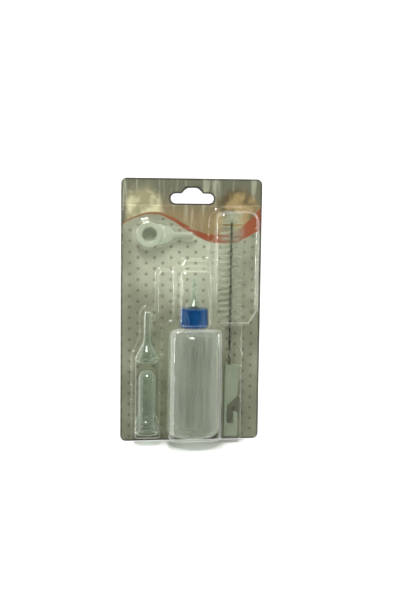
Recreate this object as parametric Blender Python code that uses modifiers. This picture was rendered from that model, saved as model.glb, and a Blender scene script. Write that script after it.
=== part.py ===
"""Carded pet care kit: a squeeze bottle with a teat, two spare teats, a finger toothbrush and a
bottle brush under one clear blister on a printed card.

Metres, +Z up, +X to the right, and the front faces -Y. The origin is the centre of the hang slot on
the card's front face. "Depth" is the distance in front of that face, so a point's Y is minus its
depth. The card hangs by its slot, and the blister is sealed over its whole face.
"""

import math

import bmesh
import bpy
from mathutils import Vector

MM = 0.001
KIT_NAME = "pet_care_kit"

# Gaps: between touching pieces, and round the pieces that lie in the pockets.
SEAT_GAP = 0.3 * MM
SIDE_GAP = 0.4 * MM
FRONT_GAP = 0.6 * MM
CARD_GAP = 0.8 * MM
PEEL_GAP = 1.6 * MM

# Card and hang slot.
CARD_WIDTH = 104.5 * MM
CARD_HEIGHT = 195.5 * MM
CARD_THICKNESS = 0.5 * MM
CARD_CORNER = 4.0 * MM
LEAST_CORNER = 0.3 * MM
SLOT_BELOW_TOP = 14.7 * MM
SLOT_WIDTH = 32.0 * MM
SLOT_HEIGHT = 7.2 * MM
SLOT_BUMP_HEIGHT = 4.2 * MM
SLOT_BUMP_WIDTH = 16.0 * MM
SLOT_BUMP_TOP_WIDTH = 9.0 * MM
SLOT_BUMP_ROUND = 1.0 * MM
SLOT_BUMP_DROP = 1.6 * MM
SLOT_BUMP_CROWN = 0.3 * MM

# Blister film.
FILM = 0.4 * MM
DRAFT = math.radians(3.0)
FOLD_BELOW_SLOT = 1.4 * MM

# Bottle, collar and fitted teat, turned about one upright axis.
BOTTLE_X = -0.5 * MM
BOTTLE_ABOVE_CARD_FOOT = 8.7 * MM
BOTTLE_RADIUS = 19.3 * MM
BOTTLE_BODY_HEIGHT = 79.6 * MM
BOTTLE_WALL = 0.9 * MM
BOTTLE_EDGE = 6.0 * MM
SHOULDER_DROP = 2.4 * MM
SHOULDER_LEDGE = 5.6 * MM
NECK_RADIUS = 7.6 * MM
NECK_WALL = 1.3 * MM
NECK_HEIGHT = 10.0 * MM
NECK_FILLET = 0.7 * MM
THREAD_RADIUS = 0.6 * MM
THREAD_SUNK = 0.3 * MM
THREAD_LEAD = 3.0 * MM
THREAD_TURNS = 1.5
THREAD_GAP = 0.4 * MM
THREAD_BELOW_RIM = 2.4 * MM
COLLAR_HEIGHT = 13.7 * MM
COLLAR_WALL = 1.4 * MM
COLLAR_FLARE = 0.3 * MM
COLLAR_LIP = 1.5 * MM
COLLAR_EDGE = 0.6 * MM
TEAT_WALL = 1.0 * MM
TEAT_FLANGE = 1.8 * MM
TEAT_DOME_RADIUS = 6.55 * MM
TEAT_DOME_HEIGHT = 11.0 * MM
TEAT_TUBE_RADIUS = 2.6 * MM
TEAT_TUBE_LENGTH = 13.0 * MM
TEAT_HOLE_RADIUS = 0.5 * MM
TEAT_STEP = 0.8 * MM

# Spare long teat, standing above the finger toothbrush in the left column.
COLUMN_X = -33.4 * MM
COLUMN_ABOVE_CARD_FOOT = 8.0 * MM
COLUMN_SPACE = 6.6 * MM
LONG_FLANGE_RADIUS = 8.5 * MM
LONG_FLANGE = 3.2 * MM
LONG_CONE_RADIUS = 7.2 * MM
LONG_CONE_HEIGHT = 12.5 * MM
LONG_TUBE_RADIUS = 2.6 * MM
LONG_TUBE_LENGTH = 21.0 * MM

# Finger toothbrush: a soft sleeve with rows of nubs near its closed end.
SLEEVE_RADIUS = 6.5 * MM
SLEEVE_WALL = 0.9 * MM
SLEEVE_LENGTH = 47.0 * MM
SLEEVE_FOOT_RADIUS = 9.2 * MM
SLEEVE_FOOT_HEIGHT = 13.5 * MM
SLEEVE_BEAD = 1.3 * MM
SLEEVE_BEAD_HEIGHT = 7.4 * MM
SLEEVE_BEAD_REACH = 1.9 * MM
SLEEVE_FLARE_REACH = 0.8 * MM
SLEEVE_WAIST_REACH = 1.1 * MM
SLEEVE_EDGE = 0.5 * MM
SLEEVE_MOUTH_GROWTH = 1.0 * MM
NUB_RADIUS = 0.5 * MM
NUB_LENGTH = 1.5 * MM
NUB_SPACING = 2.4 * MM
NUB_ROWS = 5
NUB_COLUMNS = 5
NUB_FAN = math.radians(26.0)

# Spare bent teat, lying with its flange towards the front, folded over to the right.
BENT_X = -32.0 * MM
BENT_BELOW_SLOT_CENTRE = 26.2 * MM
BENT_FLANGE_RADIUS = 9.3 * MM
BENT_FLANGE = 2.4 * MM
BENT_EDGE = 0.5 * MM
BENT_HOLE_RADIUS = 5.5 * MM
BENT_BODY_RADIUS = 8.0 * MM
BENT_BULB_RADIUS = 2.9 * MM
BENT_TUBE_RADIUS = 2.2 * MM
BENT_TUBE_LENGTH = 14.0 * MM
BENT_REACH = 18.0 * MM
BENT_OVERLAP = 0.6 * MM
BENT_CUP_RADIUS = 6.8 * MM
BENT_CUP_EDGE = 0.8 * MM
BENT_FULLNESS = 2.5
BENT_STEPS = 10
BENT_FLOOR = 1.2 * MM

# Bottle brush: twisted wire, turns of bristles, a tuft at the tip and a moulded hook handle.
BRUSH_X = 27.8 * MM
BRISTLE_RADIUS = 10.3 * MM
BRISTLE_PITCH = 4.3 * MM
BRISTLE_TURNS = 16
BRISTLE_ROOT = 1.5 * MM
BRISTLE_RIM = 0.7 * MM
WIRE_RADIUS = 1.1 * MM
WIRE_BARE = 33.0 * MM
WIRE_EDGE = 0.33 * MM
WIRE_IN_HANDLE = 12.0 * MM
TUFT_RADIUS = 9.4 * MM
TUFT_HEIGHT = 11.0 * MM
TUFT_CUP = 4.0 * MM
WIRE_BELOW_CUP = 1.0 * MM
HANDLE_ABOVE_CARD_FOOT = 5.0 * MM
HANDLE_X = 28.9 * MM
HANDLE_WIDTH = 10.4 * MM
HANDLE_LENGTH = 54.0 * MM
HANDLE_THICKNESS = 4.6 * MM
HANDLE_CORNER = 1.6 * MM
HANDLE_EDGE = 0.6 * MM
HOOK_STRIP = 2.3 * MM
HOOK_SLOT_WIDTH = 4.7 * MM
HOOK_SLOT_BOTTOM = 9.4 * MM
HOOK_PRONG_TOP = 18.3 * MM
HOOK_MOUTH_TOP = 31.0 * MM
HOOK_MOUTH_LOW = 23.0 * MM

# Pockets: how far each runs past what lies in it, its corner radii and its rounded nose.
BOTTLE_POCKET_PAST_NECK = 3.5 * MM
BOTTLE_POCKET_CORNER = 7.0 * MM
BOTTLE_POCKET_NOSE = 1.0 * MM
NECK_POCKET_SIDE = 3.2 * MM
NECK_POCKET_FRONT = 1.0 * MM
NECK_POCKET_ABOVE = 1.5 * MM
NECK_POCKET_OVERLAP = 8.0 * MM
NECK_POCKET_CORNER = 6.0 * MM
NECK_POCKET_NOSE = 4.0 * MM
PLATFORM_DEPTH = 9.0 * MM
PLATFORM_ABOVE_TEAT = 12.0 * MM
PLATFORM_STEP = 7.5 * MM
PLATFORM_RIGHT = 4.6 * MM
PLATFORM_LEFT = 6.4 * MM
PLATFORM_JOG_RIGHT = 4.0 * MM
PLATFORM_JOG_LEFT = 3.0 * MM
PLATFORM_NOSE = 1.5 * MM
COLUMN_TUBE_SIDE = 1.6 * MM
COLUMN_PAST_FLANGE = 1.2 * MM
COLUMN_PAST_CONE = 1.5 * MM
COLUMN_ABOVE_TUBE = 2.4 * MM
COLUMN_NOSE = 1.6 * MM
RING_POCKET_SIDE = 1.6 * MM
RING_POCKET_ROUND = 0.98
RING_POCKET_NOSE = 1.2 * MM
TIP_POCKET_SIDE = 0.9 * MM
TIP_POCKET_TUBE_SIDE = 1.9 * MM
TIP_POCKET_SHOULDER = 7.5 * MM
TIP_POCKET_PAST_BODY = 1.5 * MM
TIP_POCKET_PAST_TUBE = 2.0 * MM
TIP_POCKET_FRONT = 1.0 * MM
TIP_POCKET_NOSE = 1.4 * MM
BRUSH_POCKET_FRONT = 1.2 * MM
BRUSH_POCKET_LEFT = 4.8 * MM
BRUSH_POCKET_RIGHT = 9.55 * MM
BRUSH_POCKET_ABOVE = 1.9 * MM
BRUSH_POCKET_BELOW = 3.4 * MM
BRUSH_POCKET_WAIST = 8.0 * MM
BRUSH_POCKET_WAIST_SIDE = 2.2 * MM
BRUSH_POCKET_DOME = 10.0 * MM
BRUSH_POCKET_NOSE = 5.0 * MM
HANDLE_POCKET_SIDE = 3.2 * MM
HANDLE_POCKET_BELOW = 3.0 * MM
HANDLE_POCKET_OVERLAP = 4.0 * MM
HANDLE_POCKET_NOSE = 2.0 * MM
SMALL_CORNER = 2.0 * MM
MIDDLE_CORNER = 3.0 * MM

# Places that follow from the sizes above.
CARD_TOP_Z = SLOT_BELOW_TOP
CARD_FOOT_Z = CARD_TOP_Z - CARD_HEIGHT
FOLD_Z = -SLOT_HEIGHT / 2 - FOLD_BELOW_SLOT
FILM_BACK = SEAT_GAP
BOTTLE_DEPTH = CARD_GAP + BOTTLE_RADIUS
BOTTLE_FOOT_Z = CARD_FOOT_Z + BOTTLE_ABOVE_CARD_FOOT
NECK_FOOT_Z = BOTTLE_FOOT_Z + BOTTLE_BODY_HEIGHT
NECK_TOP_Z = NECK_FOOT_Z + NECK_HEIGHT
TEAT_FOOT_Z = NECK_TOP_Z + SEAT_GAP
COLLAR_BORE = NECK_RADIUS + THREAD_SUNK + THREAD_RADIUS + THREAD_GAP
COLLAR_RADIUS = COLLAR_BORE + COLLAR_WALL
COLLAR_TOP_Z = TEAT_FOOT_Z + TEAT_FLANGE + SEAT_GAP + COLLAR_LIP
COLLAR_FOOT_Z = COLLAR_TOP_Z - COLLAR_HEIGHT
TEAT_TOP_Z = TEAT_FOOT_Z + TEAT_FLANGE + TEAT_DOME_HEIGHT + TEAT_TUBE_LENGTH
COLLAR_LIFT = THREAD_LEAD * THREAD_TURNS
SLEEVE_WIDEST = max(SLEEVE_FOOT_RADIUS, SLEEVE_RADIUS + max(NUB_LENGTH, SLEEVE_BEAD_REACH))
COLUMN_WIDEST = max(SLEEVE_WIDEST, LONG_FLANGE_RADIUS, LONG_CONE_RADIUS)
COLUMN_DEPTH = CARD_GAP + COLUMN_WIDEST
SLEEVE_FOOT_Z = CARD_FOOT_Z + COLUMN_ABOVE_CARD_FOOT
LONG_DEPTH = CARD_GAP + LONG_FLANGE_RADIUS
LONG_FOOT_Z = SLEEVE_FOOT_Z + SLEEVE_LENGTH + COLUMN_SPACE
LONG_TOP_Z = LONG_FOOT_Z + LONG_FLANGE + LONG_CONE_HEIGHT + LONG_TUBE_LENGTH
BENT_DEPTH = CARD_GAP + 2 * BENT_BULB_RADIUS - BENT_OVERLAP
BRUSH_DEPTH = CARD_GAP + BRISTLE_RADIUS
HANDLE_FOOT_Z = CARD_FOOT_Z + HANDLE_ABOVE_CARD_FOOT
HANDLE_TOP_Z = HANDLE_FOOT_Z + HANDLE_LENGTH
WIRE_FOOT_Z = HANDLE_TOP_Z - WIRE_IN_HANDLE
BRISTLE_FOOT_Z = HANDLE_TOP_Z + WIRE_BARE
BRISTLE_TOP_Z = BRISTLE_FOOT_Z + BRISTLE_TURNS * BRISTLE_PITCH
TUFT_FOOT_Z = BRISTLE_TOP_Z + SEAT_GAP
TUFT_TOP_Z = TUFT_FOOT_Z + TUFT_HEIGHT
WIRE_TOP_Z = TUFT_TOP_Z - TUFT_CUP - WIRE_BELOW_CUP

PARTS = bpy.data.collections.new(KIT_NAME)
CUTTERS = bpy.data.collections.new("cutters")


def clear_scene():
    for obj in list(bpy.data.objects):
        bpy.data.objects.remove(obj, do_unlink=True)
    bpy.context.scene.collection.children.link(PARTS)
    bpy.context.scene.collection.children.link(CUTTERS)


def make_material(name, colour, roughness, metallic=0.0, alpha=1.0):
    material = bpy.data.materials.new(name)
    material.use_nodes = True
    shader = material.node_tree.nodes["Principled BSDF"]
    shader.inputs["Base Color"].default_value = (*colour, 1.0)
    shader.inputs["Roughness"].default_value = roughness
    shader.inputs["Metallic"].default_value = metallic
    shader.inputs["Alpha"].default_value = alpha
    return material


def add_part(obj, material):
    """Files the object as a piece of the kit, with one material of its own."""
    PARTS.objects.link(obj)
    obj.data.materials.clear()
    obj.data.materials.append(material)
    return obj


def add_cutter(obj, collection=CUTTERS):
    """Files the object as a helper that other pieces are joined with or cut by."""
    collection.objects.link(obj)
    obj.hide_render = True
    obj.display_type = "WIRE"
    return obj


def mesh_object(name, bm, location=(0, 0, 0)):
    mesh = bpy.data.meshes.new(name)
    bm.to_mesh(mesh)
    bm.free()
    obj = bpy.data.objects.new(name, mesh)
    obj.location = location
    return obj


def boolean(obj, operation, other):
    modifier = obj.modifiers.new(f"{operation} {other.name}", "BOOLEAN")
    modifier.operation = operation
    modifier.object = other


def boolean_all(obj, operation, collection):
    modifier = obj.modifiers.new(f"{operation} {collection.name}", "BOOLEAN")
    modifier.operation = operation
    modifier.operand_type = "COLLECTION"
    modifier.collection = collection


def arc(centre_x, centre_z, radius, start, end, steps):
    """Points on an arc, angles in degrees, from start to end inclusive."""
    angles = [math.radians(start + (end - start) * i / steps) for i in range(steps + 1)]
    return [
        (centre_x + radius * math.cos(a), centre_z + radius * math.sin(a)) for a in angles
    ]


def turned(name, profile, location, segments=32):
    """A closed or axis-to-axis profile of (radius, height) points, run round the upright axis."""
    bm = bmesh.new()
    points = [bm.verts.new((radius, 0.0, height)) for radius, height in profile]
    for first, second in zip(points, points[1:]):
        if first.co.x > 0 or second.co.x > 0:
            bm.edges.new((first, second))
    if profile[0][0] > 0:
        bm.edges.new((points[-1], points[0]))
    obj = mesh_object(name, bm, location)
    screw = obj.modifiers.new("turn", "SCREW")
    screw.angle = math.tau
    screw.steps = segments
    screw.render_steps = segments
    screw.use_merge_vertices = True
    screw.merge_threshold = 0.00001
    screw.use_smooth_shade = True
    return obj


def rounded_corners(corners, radii, inset=0.0, steps=3):
    """The outline through corners that run anticlockwise, each rounded by its own radius.

    inset moves every side inwards by that much, and outwards if it is below zero.
    """
    count = len(corners)
    outline = []
    for i in range(count):
        here = Vector(corners[i])
        before = (here - Vector(corners[i - 1])).normalized()
        after = (Vector(corners[(i + 1) % count]) - here).normalized()
        inward_before = Vector((-before.y, before.x))
        inward_after = Vector((-after.y, after.x))
        mitre = (inward_before + inward_after) / (1 + inward_before.dot(inward_after))
        corner = here + mitre * inset
        turn = math.atan2(before.x * after.y - before.y * after.x, before.dot(after))
        side = 1 if turn > 0 else -1
        radius = max(radii[i] - side * inset, LEAST_CORNER)
        centre = corner + mitre * side * radius
        for step in range(steps + 1):
            angle = turn * step / steps
            spoke = inward_before * -side * radius
            turned_spoke = Vector(
                (
                    spoke.x * math.cos(angle) - spoke.y * math.sin(angle),
                    spoke.x * math.sin(angle) + spoke.y * math.cos(angle),
                )
            )
            outline.append(tuple(centre + turned_spoke))
    return outline


def flat_piece(name, outlines, thickness, location, edge=0.0):
    """A flat outline, with any holes as further outlines, as a mesh standing in the XZ plane."""
    curve = bpy.data.curves.new(name, "CURVE")
    curve.dimensions = "2D"
    curve.fill_mode = "BOTH"
    curve.extrude = thickness / 2 - edge
    curve.bevel_depth = edge
    curve.bevel_resolution = 1
    curve.offset = -edge
    for outline in outlines:
        spline = curve.splines.new("POLY")
        spline.points.add(len(outline) - 1)
        for point, (x, z) in zip(spline.points, outline):
            point.co = (x, z, 0.0, 1.0)
        spline.use_cyclic_u = True
    guide = bpy.data.objects.new(name + "_outline", curve)
    guide.rotation_euler = (math.pi / 2, 0, 0)
    guide.location = location
    return curve_to_mesh(name, guide)


def curve_to_mesh(name, guide):
    """The guide curve's surface as a welded mesh object in the same place."""
    CUTTERS.objects.link(guide)
    bpy.context.view_layer.update()
    evaluated = guide.evaluated_get(bpy.context.evaluated_depsgraph_get())
    mesh = bpy.data.meshes.new_from_object(evaluated)
    mesh.name = name
    bm = bmesh.new()
    bm.from_mesh(mesh)
    bmesh.ops.remove_doubles(bm, verts=bm.verts, dist=0.00001)
    bmesh.ops.recalc_face_normals(bm, faces=bm.faces)
    bm.to_mesh(mesh)
    bm.free()
    obj = bpy.data.objects.new(name, mesh)
    obj.matrix_world = guide.matrix_world.copy()
    curve = guide.data
    bpy.data.objects.remove(guide, do_unlink=True)
    bpy.data.curves.remove(curve)
    return obj


def tube(name, points, radius, radii=None, sides=2):
    """A round tube along points, thinner or thicker where radii say so."""
    curve = bpy.data.curves.new(name, "CURVE")
    curve.dimensions = "3D"
    curve.bevel_depth = radius
    curve.bevel_resolution = sides
    curve.use_fill_caps = True
    spline = curve.splines.new("POLY")
    spline.points.add(len(points) - 1)
    for i, point in enumerate(points):
        spline.points[i].co = (*point, 1.0)
        if radii:
            spline.points[i].radius = radii[i]
    return curve_to_mesh(name, bpy.data.objects.new(name + "_route", curve))


def slot_outline():
    """The hang slot: a rounded bar with a blunt peak in the middle of its upper side."""
    end = SLOT_WIDTH / 2 - SLOT_HEIGHT / 2
    half = SLOT_HEIGHT / 2
    peak = half + SLOT_BUMP_HEIGHT
    right_end = arc(end, 0, half, -90, 90, 6)
    left_end = arc(-end, 0, half, 90, 270, 6)
    outer = SLOT_BUMP_TOP_WIDTH / 2 + SLOT_BUMP_ROUND
    inner = SLOT_BUMP_TOP_WIDTH / 2 - SLOT_BUMP_ROUND
    bump = [
        (SLOT_BUMP_WIDTH / 2, half),
        (outer, peak - SLOT_BUMP_DROP),
        (inner, peak - SLOT_BUMP_CROWN),
        (0.0, peak),
        (-inner, peak - SLOT_BUMP_CROWN),
        (-outer, peak - SLOT_BUMP_DROP),
        (-SLOT_BUMP_WIDTH / 2, half),
    ]
    return right_end + bump + left_end


def sheet_outline(top, bottom, top_radius, bottom_radius):
    half = CARD_WIDTH / 2
    corners = [(-half, bottom), (half, bottom), (half, top), (-half, top)]
    return rounded_corners(
        corners, [bottom_radius, bottom_radius, top_radius, top_radius], steps=4
    )


def card():
    face = sheet_outline(CARD_TOP_Z, CARD_FOOT_Z, CARD_CORNER, CARD_CORNER)
    board = flat_piece(
        "backing_card", [face, slot_outline()], CARD_THICKNESS, (0, CARD_THICKNESS / 2, 0)
    )
    add_part(board, make_material("printed_board", (0.60, 0.60, 0.55), 0.45))
    header = sheet_outline(CARD_TOP_Z, FOLD_Z + SEAT_GAP, CARD_CORNER, SEAT_GAP)
    film = flat_piece(
        "header_film", [header, slot_outline()], FILM, (0, -FILM_BACK - FILM / 2, 0)
    )
    add_part(film, clear_film("header_film"))


def clear_film(name):
    return make_material(name, (0.92, 0.94, 0.92), 0.08, alpha=0.25)


def pocket_solid(name, corners, radii, first_depth, depth, nose, grow):
    """One drafted pocket: its outline shrinks with depth, then rounds over into a flat front.
    grow moves every wall outwards, which turns the cavity into the film's outer face."""
    nose_steps = 3
    wall_end = depth + grow - nose
    levels = [(first_depth, 0.0), (wall_end, 0.0)]
    for step in range(1, nose_steps + 1):
        angle = math.pi / 2 * step / nose_steps
        levels.append((wall_end + nose * math.sin(angle), nose * (1 - math.cos(angle))))
    bm = bmesh.new()
    rings = []
    for level, round_over in levels:
        inset = min(level, wall_end) * math.tan(DRAFT) + round_over - grow
        outline = rounded_corners(corners, radii, inset)
        rings.append([bm.verts.new((x, -level, z)) for x, z in outline])
    for lower, upper in zip(rings, rings[1:]):
        for i in range(len(lower)):
            bm.faces.new((lower[i - 1], lower[i], upper[i], upper[i - 1]))
    bm.faces.new(rings[0][::-1])
    bm.faces.new(rings[-1])
    bmesh.ops.recalc_face_normals(bm, faces=bm.faces)
    return mesh_object(name, bm)


def box_corners(left, right, bottom, top):
    return [(left, bottom), (right, bottom), (right, top), (left, top)]


def bottle_pocket():
    depth = BOTTLE_DEPTH + BOTTLE_RADIUS + FRONT_GAP
    half = BOTTLE_RADIUS + SIDE_GAP + BOTTLE_DEPTH * math.tan(DRAFT)
    bottom = BOTTLE_FOOT_Z - PEEL_GAP - depth * math.tan(DRAFT)
    top = NECK_FOOT_Z + BOTTLE_POCKET_PAST_NECK
    corners = box_corners(BOTTLE_X - half, BOTTLE_X + half, bottom, top)
    return corners, [BOTTLE_POCKET_CORNER] * 4, depth, BOTTLE_EDGE + BOTTLE_POCKET_NOSE


def neck_pocket():
    depth = BOTTLE_DEPTH + COLLAR_RADIUS + COLLAR_FLARE + NECK_POCKET_FRONT
    half = COLLAR_RADIUS + NECK_POCKET_SIDE
    bottom = NECK_FOOT_Z - NECK_POCKET_OVERLAP
    top = TEAT_TOP_Z + COLLAR_LIFT + NECK_POCKET_ABOVE + depth * math.tan(DRAFT)
    corners = box_corners(BOTTLE_X - half, BOTTLE_X + half, bottom, top)
    radii = [SMALL_CORNER] * 2 + [NECK_POCKET_CORNER] * 2
    return corners, radii, depth, NECK_POCKET_NOSE


def platform_pocket():
    """The low step round the neck pocket, with one jog in its upper edge."""
    high = TEAT_TOP_Z + PLATFORM_ABOVE_TEAT
    low = high - PLATFORM_STEP
    right = BOTTLE_X + COLLAR_RADIUS + PLATFORM_RIGHT
    left = BOTTLE_X - BOTTLE_RADIUS - PLATFORM_LEFT
    jog = BOTTLE_X - COLLAR_RADIUS
    bottom = NECK_FOOT_Z - SEAT_GAP
    corners = [
        (left, bottom),
        (right, bottom),
        (right, high),
        (jog + PLATFORM_JOG_RIGHT, high),
        (jog - PLATFORM_JOG_LEFT, low),
        (left, low),
    ]
    radii = [MIDDLE_CORNER] * 2 + [SMALL_CORNER] * 3 + [MIDDLE_CORNER]
    return corners, radii, PLATFORM_DEPTH, PLATFORM_NOSE


def column_pocket():
    """A bottle-shaped pocket: the sleeve and the spare teat's flange below, its tube above."""
    depth = COLUMN_DEPTH + COLUMN_WIDEST + FRONT_GAP
    wide = COLUMN_WIDEST + SIDE_GAP + COLUMN_DEPTH * math.tan(DRAFT)
    narrow = LONG_TUBE_RADIUS + COLUMN_TUBE_SIDE
    bottom = SLEEVE_FOOT_Z - PEEL_GAP - depth * math.tan(DRAFT)
    neck_bottom = LONG_FOOT_Z + LONG_FLANGE + COLUMN_PAST_FLANGE
    neck_top = LONG_FOOT_Z + LONG_FLANGE + LONG_CONE_HEIGHT + COLUMN_PAST_CONE
    top = LONG_TOP_Z + COLUMN_ABOVE_TUBE
    corners = [
        (COLUMN_X - wide, bottom),
        (COLUMN_X + wide, bottom),
        (COLUMN_X + wide, neck_bottom),
        (COLUMN_X + narrow, neck_top),
        (COLUMN_X + narrow, top),
        (COLUMN_X - narrow, top),
        (COLUMN_X - narrow, neck_top),
        (COLUMN_X - wide, neck_bottom),
    ]
    radii = [MIDDLE_CORNER] * 3 + [SMALL_CORNER]
    radii += [MIDDLE_CORNER] * 2 + [SMALL_CORNER, MIDDLE_CORNER]
    return corners, radii, depth, COLUMN_NOSE


def ring_pocket():
    half = BENT_FLANGE_RADIUS + RING_POCKET_SIDE
    centre_z = -BENT_BELOW_SLOT_CENTRE
    corners = box_corners(BENT_X - half, BENT_X + half, centre_z - half, centre_z + half)
    depth = BENT_DEPTH + BENT_FLANGE + FRONT_GAP
    return corners, [half * RING_POCKET_ROUND] * 4, depth, RING_POCKET_NOSE


def tip_pocket():
    """The lower pocket that runs right from the ring, over the bent teat's body and tube."""
    centre_z = -BENT_BELOW_SLOT_CENTRE
    wide = BENT_BODY_RADIUS + TIP_POCKET_SIDE
    narrow = BENT_TUBE_RADIUS + TIP_POCKET_TUBE_SIDE
    neck_x = BENT_X + BENT_REACH + TIP_POCKET_PAST_BODY
    shoulder_x = BENT_X + BENT_REACH - TIP_POCKET_SHOULDER
    end_x = BENT_X + BENT_REACH + BENT_TUBE_LENGTH + TIP_POCKET_PAST_TUBE
    corners = [
        (BENT_X, centre_z - wide),
        (shoulder_x, centre_z - wide),
        (neck_x, centre_z - narrow),
        (end_x, centre_z - narrow),
        (end_x, centre_z + narrow),
        (neck_x, centre_z + narrow),
        (shoulder_x, centre_z + wide),
        (BENT_X, centre_z + wide),
    ]
    half_radii = [TIP_POCKET_NOSE, SMALL_CORNER, MIDDLE_CORNER, SMALL_CORNER]
    radii = half_radii + half_radii[::-1]
    return corners, radii, BENT_DEPTH + TIP_POCKET_FRONT, TIP_POCKET_NOSE


def brush_pocket():
    depth = BRUSH_DEPTH + BRISTLE_RADIUS + BRUSH_POCKET_FRONT
    left = BRUSH_X - BRISTLE_RADIUS - BRUSH_POCKET_LEFT
    right = BRUSH_X + BRISTLE_RADIUS + BRUSH_POCKET_RIGHT
    top = TUFT_TOP_Z + BRUSH_POCKET_ABOVE
    waist = BRISTLE_FOOT_Z + BRUSH_POCKET_WAIST
    waist_half = BRISTLE_RADIUS + BRUSH_POCKET_WAIST_SIDE
    bottom = BRISTLE_FOOT_Z - BRUSH_POCKET_BELOW
    corners = [
        (BRUSH_X - waist_half, bottom),
        (BRUSH_X + waist_half, bottom),
        (right, waist),
        (right, top),
        (left, top),
        (left, waist),
    ]
    side = 2 * SMALL_CORNER
    radii = [MIDDLE_CORNER] * 2 + [side] + [BRUSH_POCKET_DOME] * 2 + [side]
    return corners, radii, depth, BRUSH_POCKET_NOSE


def handle_pocket():
    depth = BRUSH_DEPTH + HANDLE_THICKNESS / 2 + FRONT_GAP
    half = HANDLE_WIDTH / 2 + HANDLE_POCKET_SIDE
    bottom = HANDLE_FOOT_Z - HANDLE_POCKET_BELOW
    top = BRISTLE_FOOT_Z + HANDLE_POCKET_OVERLAP
    corners = box_corners(HANDLE_X - half, HANDLE_X + half, bottom, top)
    return corners, [MIDDLE_CORNER] * 4, depth, HANDLE_POCKET_NOSE


def blister():
    """One film: the outer faces of all pockets joined to the flange, less their cavities."""
    outside = bpy.data.collections.new("pocket_outsides")
    inside = bpy.data.collections.new("pocket_cavities")
    CUTTERS.children.link(outside)
    CUTTERS.children.link(inside)
    pockets = {
        "bottle": bottle_pocket(),
        "neck": neck_pocket(),
        "platform": platform_pocket(),
        "column": column_pocket(),
        "ring": ring_pocket(),
        "tip": tip_pocket(),
        "brush": brush_pocket(),
        "handle": handle_pocket(),
    }
    for name, (corners, radii, depth, nose) in pockets.items():
        outer = pocket_solid(
            name + "_outside", corners, radii, FILM_BACK + FILM / 2, depth, nose + FILM, FILM
        )
        cavity = pocket_solid(
            name + "_cavity", corners, radii, -FILM, depth, nose, 0.0
        )
        add_cutter(outer, outside)
        add_cutter(cavity, inside)
    face = sheet_outline(FOLD_Z, CARD_FOOT_Z, SEAT_GAP, CARD_CORNER)
    shell = flat_piece("blister_shell", [face], FILM, (0, -FILM_BACK - FILM / 2, 0))
    boolean_all(shell, "UNION", outside)
    boolean_all(shell, "DIFFERENCE", inside)
    shift_origin(shell, (0, -FILM_BACK - FILM / 2, FOLD_Z))
    add_part(shell, clear_film("blister_film"))


def shift_origin(obj, origin):
    """Moves the object's origin to a world point and leaves its mesh where it was."""
    target = Vector(origin)
    inverse = obj.matrix_world.inverted()
    local = inverse @ target
    for vertex in obj.data.vertices:
        vertex.co -= local
    obj.location = target


def helix(radius, turns, start_z, steps_per_turn=20):
    """Points up a right-hand thread of the neck's lead."""
    points = []
    for i in range(int(turns * steps_per_turn) + 1):
        angle = math.tau * i / steps_per_turn
        height = start_z + THREAD_LEAD * i / steps_per_turn
        points.append((radius * math.cos(angle), radius * math.sin(angle), height))
    return points


def thread(name, radius, start_z, place):
    """One thread ridge, ready to be joined to the neck or to the collar's bore."""
    ridge = tube(name, helix(radius, THREAD_TURNS, start_z), THREAD_RADIUS, sides=1)
    ridge.location = place
    return add_cutter(ridge)


def bottle():
    neck_rim = BOTTLE_BODY_HEIGHT + NECK_HEIGHT
    bend = BOTTLE_RADIUS - NECK_RADIUS - SHOULDER_LEDGE
    bend_z = BOTTLE_BODY_HEIGHT - SHOULDER_DROP - bend
    edge_x = BOTTLE_RADIUS - BOTTLE_EDGE
    bore = NECK_RADIUS - NECK_WALL
    profile = [
        (NECK_RADIUS, neck_rim),
        (NECK_RADIUS, BOTTLE_BODY_HEIGHT + NECK_FILLET),
        (NECK_RADIUS + NECK_FILLET, BOTTLE_BODY_HEIGHT),
    ]
    profile += arc(BOTTLE_RADIUS - bend, bend_z, bend, 90, 0, 5)
    profile += arc(edge_x, BOTTLE_EDGE, BOTTLE_EDGE, 0, -90, 4)
    profile += [(0.0, 0.0), (0.0, BOTTLE_WALL)]
    profile += arc(edge_x, BOTTLE_EDGE, BOTTLE_EDGE - BOTTLE_WALL, -90, 0, 4)
    profile += arc(BOTTLE_RADIUS - bend, bend_z, bend - BOTTLE_WALL, 0, 90, 5)
    profile += [(bore, BOTTLE_BODY_HEIGHT - BOTTLE_WALL), (bore, neck_rim)]
    place = (BOTTLE_X, -BOTTLE_DEPTH, BOTTLE_FOOT_Z)
    body = turned("bottle_body", profile, place)
    thread_foot = neck_rim - THREAD_BELOW_RIM - COLLAR_LIFT
    ridge = thread("neck_thread", NECK_RADIUS + THREAD_SUNK, thread_foot, place)
    boolean(body, "UNION", ridge)
    add_part(body, make_material("clouded_polythene", (0.74, 0.80, 0.78), 0.35, alpha=0.5))


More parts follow.
